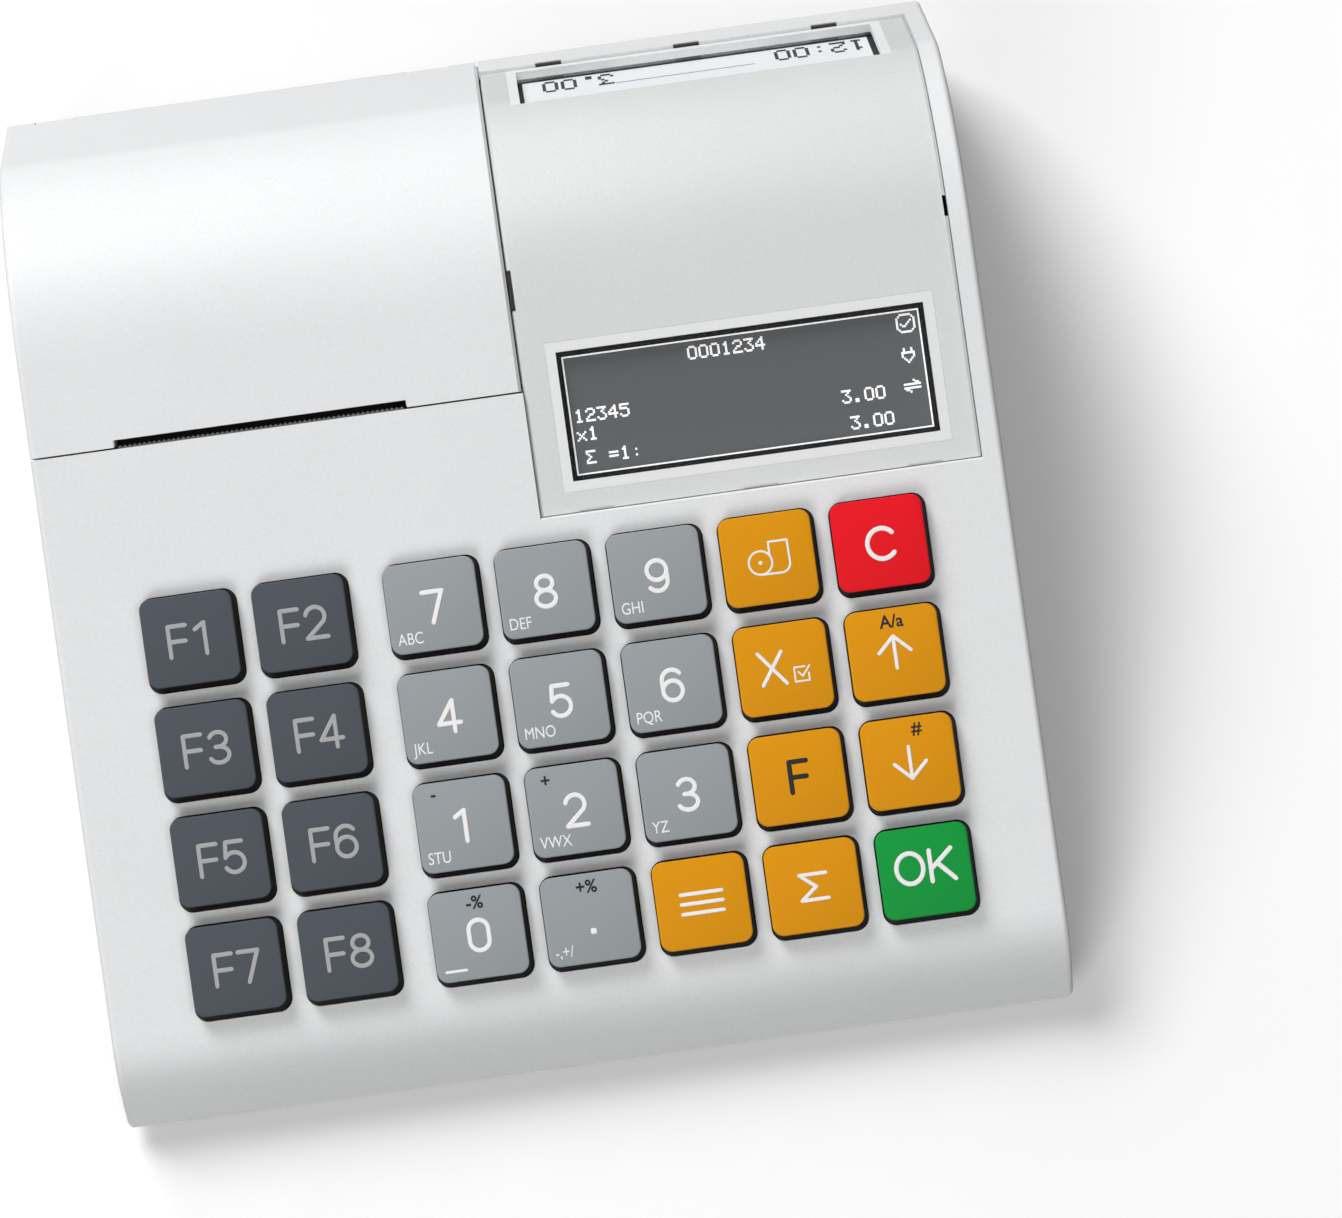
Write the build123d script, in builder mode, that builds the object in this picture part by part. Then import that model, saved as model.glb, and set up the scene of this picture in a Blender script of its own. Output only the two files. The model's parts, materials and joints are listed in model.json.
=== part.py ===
from build123d import *
from math import acos, cos, pi, radians, sin, sqrt, tan
import os

os.makedirs("parts", exist_ok=True)

# Compact receipt register: a wedge-shaped case with a sloping key deck, a printer under a hinged
# cover on the left and a display cover on the right. +X right, +Y to the rear, +Z up. The origin
# is on the table under the middle of the case. Lengths are in millimetres, angles in degrees.

# ---- case, side view ----
body_width = 197.0
deck_angle = 19.0  # the key deck rises to the rear
deck_length = 139.0  # flat deck, front roll to hump
front_roll = 17.2  # radius between deck and fascia
front_sweep = 49.5
fascia_length = 8.9
hump_radius = 49.0
hump_sweep = 60.0
crease_turn = 12.0  # extra fall of the rear facet after the hump
facet_length = 37.4
crease_round = 12.0  # eases the crease between hump and facet
case_wall = 2.4
edge_round = 1.2  # along both sides of the case
rear_round = 0.8
foot_stand = 2.6  # feet below the tray
tray_drop = 1.9  # tray below the rim of the case

# ---- fits ----
seam_gap = 0.35
cover_gap = 0.2  # round the display cover
fit_gap = 0.3  # tray in case, roll in bucket, keys under the deck
slip = 0.1  # glued or clipped pieces in their pockets
bezel_slip = 0.03  # bezels in their holes
running = 0.05  # radial, shafts in bores
body_reach = 15.0  # how far cutting outlines pass outside the case

# ---- printer cover ----
printer_cover_width = 101.15
seam_before_hump = 19.1  # front seam of the printer cover to the hump
cover_bevel = 0.6
side_gap = 0.25  # printer cover to display bay
slot_length = 60.3
slot_depth = 1.7
slot_margin = 17.3  # left side of the case to the slot
cover_lip_width = 2.0  # turned-down right edge
cover_lip_depth = 9.0
hinge_roll = 3.4  # radius of the cover's rolled rear edge
hinge_clear = 0.4
hinge_pin_radius = 1.5
hinge_pin_length = 16.0
hinge_lug_width = 8.0
hinge_inset = 10.5  # end of the cover to the middle of a lug
skirt_gap = 0.4

# ---- display cover ----
display_before_hump = 45.1  # front edge of the display cover to the hump
display_recess = 0.7
display_bevel = 0.6  # along both sides of the display cover
bay_bevel = 0.4  # along the deck's edge in front of the display cover
side_strip = 4.3  # case right of the display bay
rear_strip = 10.0  # case below the display bay, on the facet
ledge_in = 1.2
rear_ledge_in = 0.5
ledge_out = 2.0
ledge_thick = 2.0
window_side = 7.5  # side of the display cover to a window
window_height = 26.6
bezel_border = 2.1
operator_margin = 6.5  # front of the display cover to the operator window
lens_overlap = 1.5
lens_thick = 1.0
lcd_overlap = 4.0  # module past the window, each end
lcd_side_overlap = 1.5
lcd_thick = 5.5
latch_length = 5.6
latch_depth = 1.1
latch_side = 15.9  # side of the display cover to the middle of the outer latch slots
latch_shift = -1.2
side_latch_depth = 0.7
side_latch_length = 8.4
side_latch_past_hump = 1.7
right_latch_length = 4.3
right_latch_past_hump = 6.9
notch_side = 11.5  # side of the display cover to the middle of the outer notches
notch_length = 7.0
notch_depth = 0.5

# ---- keys ----
key_side = 17.75  # side of the case to the outer keys
key_space_x = 3.4  # between neighbouring keys
key_space_u = 3.2
key_shift_x = 0.25  # key field towards the right side and the rear
key_shift_u = 0.05
key_rear_margin = 3.9  # key field to the display cover
block_gap = 3.9  # extra space between the function keys and the rest
key_rows = 4
function_columns = 2
main_columns = 5
key_corner = 2.6
key_taper_x = 1.0  # the top is this much narrower
key_taper_u = 1.3
key_top_corner = 2.1
key_top_shift_x = -0.4
key_top_shift_u = 0.5
key_height = 3.2
key_shoulder = 0.9
key_below = 4.0
key_gap = 0.25
key_wall = 1.4
key_top_wall = 1.6
key_flange = 0.75
key_flange_thick = 1.0
key_travel = 1.8
stem_radius = 2.5
stem_gap = 0.4  # left above the dome at full travel

# ---- keyboard ----
mat_thick = 1.2
mat_margin = 0.6
dome_radius = 4.5
dome_top_radius = 2.6
dome_height = 3.4
board_thick = 1.6
keyboard_margin = 4.6
post_radius = 2.2
screw_radius = 1.3
screw_length = 7.0
screw_head_radius = 2.2
screw_head_thick = 1.5
screw_slip = 0.06

# ---- base tray ----
tray_floor = 2.4
tray_wall = 1.6
tray_wall_height = 6.0
foot_radius = 7.0
foot_sunk = 0.6
foot_inset_x = 18.0
foot_inset_y = 20.0
case_post_radius = 3.2
case_post_inset_x = 8.0
case_post_inset_y = 19.5
rear_post_inset_y = 8.0
rear_post_height = 15.0

# ---- main board and what is on it ----
board_lift = 6.0
board_gap = 5.0  # display bay wall to board
board_edge_gap = 2.4  # rear wall to board
main_board_depth = 90.0
main_board_end = 12.5  # board to the right side of the case
board_post_radius = 3.0
board_post_inset = 5.0
chip_height = 2.0
chips = [(0.30, 0.35, 18.0, 18.0), (0.62, 0.30, 12.0, 9.0), (0.45, 0.68, 10.0, 14.0)]
socket_depth = 14.0
socket_back = 0.6  # socket faces behind the rear face
socket_gap = 0.3
jack_width = 14.0
jack_height = 12.6
jack_mouth_width = 11.7
jack_mouth_height = 7.0
jack_mouth_depth = 10.5
square_width = 12.0
square_height = 10.8
square_mouth = 7.8
inlet_width = 10.0
inlet_height = 11.0
inlet_radius = 3.1
inlet_pin_radius = 1.0
inlet_depth = 9.0
socket_edge = 2.0  # side of the board to the outer sockets

# ---- sealed units in the tray ----
cell_radius = 9.2
cell_length = 66.0
pack_wrap = 0.3
pack_left = 17.0
pack_front = 56.0
module_width = 60.0
module_depth = 38.0
module_height = 14.0
module_round = 2.0
module_space = 6.1  # display bay wall to module
module_front = 46.0
module_lid = 2.5
module_lid_in = 1.2

# ---- paper ----
paper_width = 57.0
roll_radius = 24.0
core_radius = 6.2
roll_past_hump = 14.6  # roll centre, behind the front of the hump
roll_depth = 37.5  # roll centre, below the deck
bucket_wall = 1.6
bucket_end_gap = 0.6
bucket_rise = 2.0  # lips above the roll's axis
bucket_leg = 2.0
bucket_leg_spread = 14.0

# ---- printer ----
platen_radius = 5.5
platen_margin = 0.5  # rubber past the paper, each side
platen_u_gap = 4.7  # slot to the platen's axis
platen_depth = 10.5
shaft_radius = 2.0
bush_radius = 3.5
bush_flange = 4.3
bush_flange_thick = 0.7
arm_thick = 3.0
arm_radius = 5.0
arm_gap = 1.0  # rubber to arm
gear_module = 0.6
gear_pressure = 25.0
gear_addendum = 0.8
gear_dedendum = 1.1
gear_backlash = 0.12
gear_face = 4.0
gear_gap = 0.8
platen_teeth = 20
reduction_teeth = 36
pinion_teeth = 12
hub_radius = 3.6
pinion_direction = 240.0  # seen from the right, from +Y towards +Z
motor_radius = 10.5
motor_length = 14.0
motor_shaft_radius = 1.0
motor_shaft_depth = 9.0
axle_radius = 2.0
cheek_thick = 2.0
cheek_gap = 0.3
cheek_margin = 2.0
frame_floor = 2.0
head_thick = 3.0
head_height = 15.5
head_top = 6.5
head_gap = 0.1  # paper between head and platen
head_inset = 1.0
spring_space = 6.7
spring_radius = 2.0
spring_wire = 0.3
spring_turns = 5
spring_spread = 18.0
beam_thick = 2.5
beam_height = 14.0
tear_thick = 0.5
tear_seat = 7.0
tear_reach = 0.75
tear_pitch = 1.0
tear_tooth = 0.45

slope = radians(deck_angle)
front_turn = radians(front_sweep)
hump_turn = radians(hump_sweep)
facet_turn = radians(hump_sweep + crease_turn)

# ---- places in side view ----
# The deck's own axes: u runs back along the deck from its front end, w stands out of it.
fascia_foot = (
    -front_roll * sin(front_turn) - fascia_length * cos(front_turn),
    -front_roll * (1 - cos(front_turn)) - fascia_length * sin(front_turn),
)
crease_spot = (
    deck_length + hump_radius * sin(hump_turn),
    -hump_radius * (1 - cos(hump_turn)),
)
rear_spot = (
    crease_spot[0] + facet_length * cos(facet_turn),
    crease_spot[1] - facet_length * sin(facet_turn),
)


def turned(u, w):
    return (u * cos(slope) - w * sin(slope), u * sin(slope) + w * cos(slope))


tray_bottom = foot_stand
rim_z = tray_bottom + tray_drop
deck_y = -(turned(*fascia_foot)[0] + turned(*rear_spot)[0]) / 2
deck_z = rim_z - turned(*fascia_foot)[1]


def deck_point(u, w=0.0):
    y, z = turned(u, w)
    return (deck_y + y, deck_z + z)


rear_edge = deck_point(*rear_spot)
rear_y = rear_edge[0]
front_y = -rear_y
facet_fall = facet_turn - slope  # below the horizontal
facet_out = (sin(facet_fall), cos(facet_fall))


def facet_point(s, n=0.0):
    """s up the facet from its rear edge, n out of it."""
    return (
        rear_edge[0] - s * cos(facet_fall) + n * facet_out[0],
        rear_edge[1] + s * sin(facet_fall) + n * facet_out[1],
    )


left_x = -body_width / 2
right_x = body_width / 2
deck_plane = Plane(origin=(0, deck_y, deck_z), x_dir=(1, 0, 0), z_dir=(0, -sin(slope), cos(slope)))
# On the facet's plane the second axis runs down the facet.
facet_plane = Plane(
    origin=(0, rear_edge[0], rear_edge[1]), x_dir=(1, 0, 0), z_dir=(0, facet_out[0], facet_out[1])
)


def draw_side(inset=0.0, extend=0.0, mode=Mode.ADD):
    """The case's side view, shrunk by inset, its open foot lowered by extend."""
    foot = (
        fascia_foot[0] - extend * cos(front_turn),
        fascia_foot[1] - extend * sin(front_turn),
    )
    roll_end = (-front_roll * sin(front_turn), -front_roll * (1 - cos(front_turn)))
    roll_middle = (-front_roll * sin(front_turn / 2), -front_roll * (1 - cos(front_turn / 2)))
    hump_middle = (
        deck_length + hump_radius * sin(hump_turn / 2),
        -hump_radius * (1 - cos(hump_turn / 2)),
    )
    low = deck_point(*foot)
    corner = (rear_y, low[1])
    with BuildSketch(mode=Mode.PRIVATE) as view:
        with BuildLine():
            Line(low, deck_point(*roll_end))
            ThreePointArc(deck_point(*roll_end), deck_point(*roll_middle), deck_point(0))
            Line(deck_point(0), deck_point(deck_length))
            ThreePointArc(
                deck_point(deck_length), deck_point(*hump_middle), deck_point(*crease_spot)
            )
            Line(deck_point(*crease_spot), rear_edge)
            Line(rear_edge, corner)
            Line(corner, low)
        make_face()
        crease = view.vertices().sort_by_distance((*deck_point(*crease_spot), 0))[0]
        fillet(crease, radius=crease_round)
        if inset > 0:
            offset(amount=-inset, kind=Kind.INTERSECTION)
    add(view.sketch, mode=mode)


def draw_skin(outer, inner):
    """The band of the side view between two depths below its outline."""
    draw_side(outer, body_reach)
    draw_side(inner, body_reach, mode=Mode.SUBTRACT)


def draw_area(points, mode=Mode.ADD):
    with BuildSketch(mode=Mode.PRIVATE) as area:
        with BuildLine():
            Polyline(*points, close=True)
        make_face()
    add(area.sketch, mode=mode)


def draw_bay(front_u, rear_s, mode=Mode.INTERSECT):
    """Keeps the skin from front_u on the deck over the hump to rear_s on the facet."""
    draw_area(
        [
            deck_point(front_u, body_reach),
            deck_point(front_u, -body_reach),
            facet_point(rear_s, -body_reach),
            facet_point(rear_s, body_reach),
            deck_point(rear_spot[0] + body_reach, body_reach),
        ],
        mode=mode,
    )


# ---- places derived from the sizes above ----
printer_seam = deck_length - seam_before_hump
display_front = deck_length - display_before_hump
side_latch_u = deck_length + side_latch_past_hump
right_latch_u = deck_length + right_latch_past_hump
side_snap_reach = cover_gap + side_latch_depth
side_snap_drop = 3 * case_wall + ledge_thick  # through cover and ledge where the hump falls
roll_u = deck_length + roll_past_hump
printer_right = left_x + printer_cover_width
bay_left = printer_right + side_gap
bay_right = right_x - side_strip
display_left = bay_left + cover_gap
display_right = bay_right - cover_gap
display_width = display_right - display_left
display_middle = (display_left + display_right) / 2
window_length = display_width - 2 * window_side
latch_pitch = display_width / 2 - latch_side
notch_pitch = display_width / 2 - notch_side
# The customer bezel's rear border is the rear edge of the display cover.
customer_margin = cover_gap + bezel_border
operator_u = display_front + operator_margin + window_height / 2
customer_s = rear_strip + customer_margin + window_height / 2
slot_left = left_x + slot_margin
slot_middle = slot_left + slot_length / 2
tray_top = tray_bottom + tray_floor
tray_wall_top = tray_top + tray_wall_height
inner_side = right_x - case_wall
bezel_length = window_length + 2 * bezel_border
bezel_height = window_height + 2 * bezel_border
lens_length = window_length + 2 * lens_overlap
lens_height = window_height + 2 * lens_overlap
lcd_length = window_length + 2 * lcd_overlap
lcd_height = window_height + 2 * lcd_side_overlap
lens_top = case_wall
lcd_top = lens_top + lens_thick

# The hinge roll touches the facet and the rear face from inside.
hinge_y = rear_y - hinge_roll
hinge_z = rear_edge[1] - hinge_roll * (1 - facet_out[0]) / facet_out[1]
skirt_z = hinge_z
lug_spots = [left_x + hinge_inset, printer_right - hinge_inset]

key_columns = function_columns + main_columns
key_pitch_x = (body_width - 2 * key_side - block_gap + key_space_x) / key_columns
key_pitch_u = (display_front - key_rear_margin) / key_rows
key_width = key_pitch_x - key_space_x
key_depth = key_pitch_u - key_space_u
key_top_width = key_width - key_taper_x
key_top_depth = key_depth - key_taper_u
keys_across = (key_columns - 1) * key_pitch_x + block_gap
first_key_x = key_shift_x - keys_across / 2
key_x = [
    first_key_x + i * key_pitch_x + (block_gap if i >= function_columns else 0.0)
    for i in range(key_columns)
]
key_u = [key_pitch_u * (i + 0.5) + key_shift_u for i in range(key_rows)]  # front row first
flange_bottom = key_below
stem_bottom = flange_bottom - 1.4
mat_top = stem_bottom + key_travel + stem_gap + dome_height
mat_bottom = mat_top + mat_thick
board_bottom = mat_bottom + board_thick
field_left = key_x[0] - key_width / 2 - key_flange
field_right = key_x[-1] + key_width / 2 + key_flange
field_front = key_u[0] - key_depth / 2 - key_flange
field_rear = key_u[-1] + key_depth / 2 + key_flange
block_middle = (key_x[function_columns - 1] + key_x[function_columns]) / 2
keyboard_posts = [
    (x, (key_u[i] + key_u[i + 1]) / 2)
    for x in (field_left - post_radius - slip, block_middle, field_right + post_radius + slip)
    for i in (0, 2)
]

# ================================ case ================================

# Outer block of the case, rounded along both sides.
with BuildPart() as case_block:
    with BuildSketch(Plane.YZ.offset(left_x)):
        draw_side()
    extrude(amount=body_width)
    rear_ridge = case_block.edges().filter_by(Axis.X).sort_by_distance((0, *rear_edge))[0]
    fillet(rear_ridge, radius=rear_round)
    ends = case_block.faces().sort_by(Axis.X)
    fillet(ends[0].edges() + ends[-1].edges(), radius=edge_round)

# Hollow of the case, open below.
with BuildPart() as case_hollow:
    with BuildSketch(Plane.YZ.offset(left_x + case_wall)):
        draw_side(case_wall, body_reach)
    extrude(amount=body_width - 2 * case_wall)

case_posts = [
    (x, y)
    for x in (left_x + case_post_inset_x, right_x - case_post_inset_x)
    for y in (front_y + case_post_inset_y, rear_y - rear_post_inset_y)
]
board_left = bay_left + board_gap
board_right = right_x - main_board_end
board_rear = rear_y - case_wall - board_edge_gap
board_front = board_rear - main_board_depth
board_z = tray_top + board_lift
board_top = board_z + board_thick
board_width = board_right - board_left
socket_sizes = [
    (inlet_width, inlet_height),
    (square_width, square_height),
    (jack_width, jack_height),
    (jack_width, jack_height),
]
# the sockets stand evenly spaced along the rear of the board, the inlet at its right end
socket_widths = [width for width, height in socket_sizes]
socket_space = (board_width - 2 * socket_edge - sum(socket_widths)) / (len(socket_sizes) - 1)
socket_x = []
socket_right = board_right - socket_edge
for width in socket_widths:
    socket_x.append(socket_right - width / 2)
    socket_right -= width + socket_space
lug_space = hinge_lug_width + 2 * fit_gap

with BuildPart() as top_case:
    add(case_block.part)
    add(case_hollow.part, mode=Mode.SUBTRACT)
    # ledges and wall round the display bay
    with BuildSketch(Plane.YZ.offset(bay_left - ledge_out)):
        draw_skin(case_wall, case_wall + ledge_thick)
        draw_bay(display_front - ledge_out, rear_strip - ledge_out)
    extrude(amount=inner_side - bay_left + ledge_out)
    with BuildSketch(Plane.YZ.offset(bay_left + ledge_thick)):
        draw_skin(0.0, case_wall + 2 * ledge_thick)
        draw_bay(display_front + ledge_in, rear_strip + rear_ledge_in)
    extrude(amount=bay_right - ledge_in - bay_left - ledge_thick, mode=Mode.SUBTRACT)
    # printer bay: everything behind the seam and above the skirt line
    with BuildSketch(Plane.YZ.offset(left_x - body_reach)):
        draw_area(
            [
                deck_point(printer_seam - seam_gap / 2, body_reach),
                deck_point(printer_seam - seam_gap / 2, -deck_length),
                deck_point(printer_seam + deck_length, -deck_length),
                deck_point(printer_seam + deck_length, body_reach),
            ]
        )
        draw_area(
            [
                (front_y - body_reach, skirt_z - skirt_gap),
                (hinge_y, skirt_z - skirt_gap),
                (hinge_y, hinge_z - hinge_roll / 2),
                (rear_y + body_reach, hinge_z - hinge_roll / 2),
                (rear_y + body_reach, 2 * deck_length),
                (front_y - body_reach, 2 * deck_length),
            ],
            mode=Mode.INTERSECT,
        )
        with Locations((hinge_y, hinge_z)):
            Circle(hinge_roll + hinge_clear)
    extrude(amount=printer_right + side_gap - left_x + body_reach, mode=Mode.SUBTRACT)
    # display bay opening
    with BuildSketch(Plane.YZ.offset(bay_left)):
        draw_skin(0.0, case_wall)
        draw_bay(display_front, rear_strip)
    extrude(amount=bay_right - bay_left, mode=Mode.SUBTRACT)
    with BuildSketch(Plane.YZ.offset(bay_left)):
        draw_side(case_wall, body_reach)
        draw_area(
            [
                deck_point(display_front - ledge_out, 0),
                deck_point(display_front - ledge_out, -deck_length),
                deck_point(display_front + 2 * deck_length, -deck_length),
                deck_point(display_front + 2 * deck_length, 0),
            ],
            mode=Mode.INTERSECT,
        )
        draw_area(
            [
                (front_y, tray_wall_top + skirt_gap),
                (rear_y, tray_wall_top + skirt_gap),
                (rear_y, 2 * deck_length),
                (front_y, 2 * deck_length),
            ],
            mode=Mode.INTERSECT,
        )
    extrude(amount=ledge_thick)
    # hinge lugs of the printer cover
    for x in lug_spots:
        with BuildSketch(Plane.YZ.offset(x - hinge_lug_width / 2)):
            with Locations((hinge_y, hinge_z)):
                Circle(hinge_roll - slip)
            with Locations((hinge_y, hinge_z - hinge_roll)):
                Rectangle(2 * (hinge_roll - slip), 2 * hinge_roll)
            with Locations((hinge_y, hinge_z)):
                Circle(hinge_pin_radius, mode=Mode.SUBTRACT)
        extrude(amount=hinge_lug_width)
        with BuildSketch(Plane.YZ.offset(x - hinge_lug_width / 2)):
            draw_area(
                [
                    (hinge_y - hinge_roll + slip, hinge_z - 2 * hinge_roll),
                    (rear_y - case_wall / 2, hinge_z - 2 * hinge_roll),
                    (rear_y - case_wall / 2, hinge_z - 4 * hinge_roll),
                ]
            )
        extrude(amount=hinge_lug_width)
    # key openings
    with BuildSketch(deck_plane):
        for x in key_x:
            for u in key_u:
                with Locations((x, u)):
                    RectangleRounded(
                        key_width + 2 * key_gap, key_depth + 2 * key_gap, key_corner + key_gap
                    )
    extrude(amount=-2 * case_wall, mode=Mode.SUBTRACT)
    # posts for the keyboard
    with BuildSketch(deck_plane.offset(-mat_bottom)):
        with Locations(*keyboard_posts):
            Circle(post_radius)
    extrude(amount=mat_bottom - case_wall / 2)
    with BuildSketch(deck_plane.offset(-mat_bottom)):
        with Locations(*keyboard_posts):
            Circle(screw_radius + screw_slip)
    extrude(amount=mat_bottom - case_wall, mode=Mode.SUBTRACT)
    # posts for the case screws
    with BuildSketch(Plane.XY.offset(tray_top)):
        with Locations(*[spot for spot in case_posts if spot[1] < 0]):
            Circle(case_post_radius)
    extrude(until=Until.NEXT)
    for x, y in [spot for spot in case_posts if spot[1] > 0]:
        with BuildSketch(Plane.XY.offset(tray_top)):
            with Locations((x, y)):
                Circle(case_post_radius)
        extrude(amount=rear_post_height)
        with BuildSketch(Plane.XY.offset(tray_wall_top + skirt_gap)):
            with Locations((x, (y + rear_y - case_wall / 2) / 2)):
                Rectangle(case_wall, rear_y - case_wall / 2 - y)
        extrude(amount=rear_post_height - tray_wall_height - skirt_gap)
    with BuildSketch(Plane.XY.offset(tray_top)):
        with Locations(*case_posts):
            Circle(screw_radius + screw_slip)
    extrude(amount=screw_length + slip, mode=Mode.SUBTRACT)
    # latch slots in the rear strip
    with BuildSketch(facet_plane.offset(body_reach / 2)):
        with Locations((display_middle + latch_shift, -rear_strip)):
            with GridLocations(latch_pitch, 1, 3, 1):
                Rectangle(latch_length, 2 * latch_depth)
    extrude(amount=-body_reach / 2 - case_wall - 2 * ledge_thick, mode=Mode.SUBTRACT)
    # room for the side snaps, through the ledges of the display bay
    with BuildSketch(deck_plane.offset(body_reach)):
        with Locations((bay_left + side_snap_reach / 2, side_latch_u)):
            Rectangle(side_snap_reach, side_latch_length)
        with Locations((bay_right - side_snap_reach / 2, right_latch_u)):
            Rectangle(side_snap_reach, right_latch_length)
    extrude(amount=-body_reach - side_snap_drop, mode=Mode.SUBTRACT)
    # bevel on the deck's edge in front of the display cover
    with BuildSketch(Plane.YZ.offset(bay_left)):
        draw_area(
            [
                deck_point(display_front - bay_bevel, 0),
                deck_point(display_front, -bay_bevel),
                deck_point(display_front + bay_bevel, 0),
            ]
        )
    extrude(amount=bay_right - bay_left, mode=Mode.SUBTRACT)
    # windows for the sockets and the inlet
    for x, (width, height) in zip(socket_x, socket_sizes):
        with BuildSketch(Plane.XZ.offset(-rear_y - 1)):
            with Locations((x, board_top + height / 2)):
                Rectangle(width + 2 * socket_gap, height + 2 * socket_gap)
        extrude(amount=case_wall + 2, mode=Mode.SUBTRACT)
top_case.part.label = "top_case"
export_step(top_case.part, "parts/top_case.step")

# ================================ printer cover ================================

platen_u = printer_seam + slot_depth / 2 + platen_u_gap
platen_y, platen_z = deck_point(platen_u, -platen_depth)
platen_length = paper_width + 2 * platen_margin
arm_left = slot_middle - platen_length / 2 - arm_gap - arm_thick
arm_right = slot_middle + platen_length / 2 + arm_gap
pin_reach = hinge_pin_length / 2

with BuildPart() as cover_block:
    with BuildSketch(Plane.YZ.offset(left_x)):
        draw_side()
    extrude(amount=printer_cover_width)
    ends = cover_block.faces().sort_by(Axis.X)
    fillet(ends[0].edges(), radius=edge_round)
    chamfer(ends[-1].edges(), length=cover_bevel)

with BuildPart() as printer_cover:
    add(cover_block.part)
    add(case_hollow.part, mode=Mode.SUBTRACT)
    # turned-down right edge
    with BuildSketch(Plane.YZ.offset(printer_right - cover_lip_width)):
        draw_skin(case_wall / 2, cover_lip_depth)
    extrude(amount=cover_lip_width)
    # only what lies behind the seam, above the skirt line and above the hinge
    with BuildSketch(Plane.YZ.offset(left_x - body_reach)):
        draw_area(
            [
                deck_point(printer_seam + seam_gap / 2, body_reach),
                deck_point(printer_seam + seam_gap / 2, -deck_length),
                deck_point(printer_seam + deck_length, -deck_length),
                deck_point(printer_seam + deck_length, body_reach),
            ]
        )
        draw_area(
            [
                (front_y, skirt_z),
                (hinge_y, hinge_z),
                (
                    hinge_y + facet_out[0] * body_reach,
                    hinge_z + facet_out[1] * body_reach,
                ),
                (rear_y + body_reach, 2 * deck_length),
                (front_y, 2 * deck_length),
            ],
            mode=Mode.INTERSECT,
        )
    extrude(amount=body_width, mode=Mode.INTERSECT)
    # rolled rear edge
    with BuildSketch(Plane.YZ.offset(left_x)):
        with Locations((hinge_y, hinge_z)):
            Circle(hinge_roll)
    extrude(amount=printer_cover_width)
    # room for the lugs, and bores for the pins
    for x in lug_spots:
        with BuildSketch(Plane.YZ.offset(x - lug_space / 2)):
            with Locations((hinge_y, hinge_z)):
                Circle(hinge_roll + hinge_clear)
        extrude(amount=lug_space, mode=Mode.SUBTRACT)
        with BuildSketch(Plane.YZ.offset(x - pin_reach - slip)):
            with Locations((hinge_y, hinge_z)):
                Circle(hinge_pin_radius + running)
        extrude(amount=2 * (pin_reach + slip), mode=Mode.SUBTRACT)
    # paper slot in the front edge
    with BuildSketch(deck_plane.offset(body_reach / 2)):
        with Locations((slot_middle, printer_seam)):
            Rectangle(slot_length, 2 * slot_depth)
    extrude(amount=-body_reach / 2 - case_wall - slip, mode=Mode.SUBTRACT)
    # arms that carry the platen
    for x in (arm_left, arm_right):
        with BuildSketch(Plane.YZ.offset(x)):
            draw_area(
                [
                    deck_point(platen_u - arm_radius, -case_wall / 2),
                    deck_point(platen_u - arm_radius, -platen_depth),
                    deck_point(platen_u + arm_radius, -platen_depth),
                    deck_point(platen_u + arm_radius, -case_wall / 2),
                ]
            )
            with Locations((platen_y, platen_z)):
                Circle(arm_radius)
                Circle(bush_radius, mode=Mode.SUBTRACT)
        extrude(amount=arm_thick)
printer_cover.part.label = "printer_cover"
export_step(printer_cover.part, "parts/printer_cover.step")

with BuildPart() as hinge_pins:
    for x in lug_spots:
        with BuildSketch(Plane.YZ.offset(x - pin_reach)):
            with Locations((hinge_y, hinge_z)):
                Circle(hinge_pin_radius)
        extrude(amount=hinge_pin_length)
hinge_pins.part.label = "hinge_pins"
export_step(hinge_pins.part, "parts/hinge_pins.step")

# ================================ display cover ================================

operator_plane = Plane(
    origin=(display_middle, *deck_point(operator_u)), x_dir=(1, 0, 0), z_dir=deck_plane.z_dir
)
customer_plane = Plane(
    origin=(display_middle, *facet_point(customer_s)), x_dir=(1, 0, 0), z_dir=facet_plane.z_dir
)

# Outlines of the two bezels: height and middle, along the plane's second axis.
operator_outline = (bezel_height, 0.0)
customer_outline = (window_height + bezel_border, bezel_border / 2)

with BuildPart() as display_block:
    with BuildSketch(Plane.YZ.offset(display_left)):
        draw_side(display_recess)
    extrude(amount=display_width)
    ends = display_block.faces().sort_by(Axis.X)
    chamfer(ends[0].edges() + ends[-1].edges(), length=display_bevel)

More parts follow.
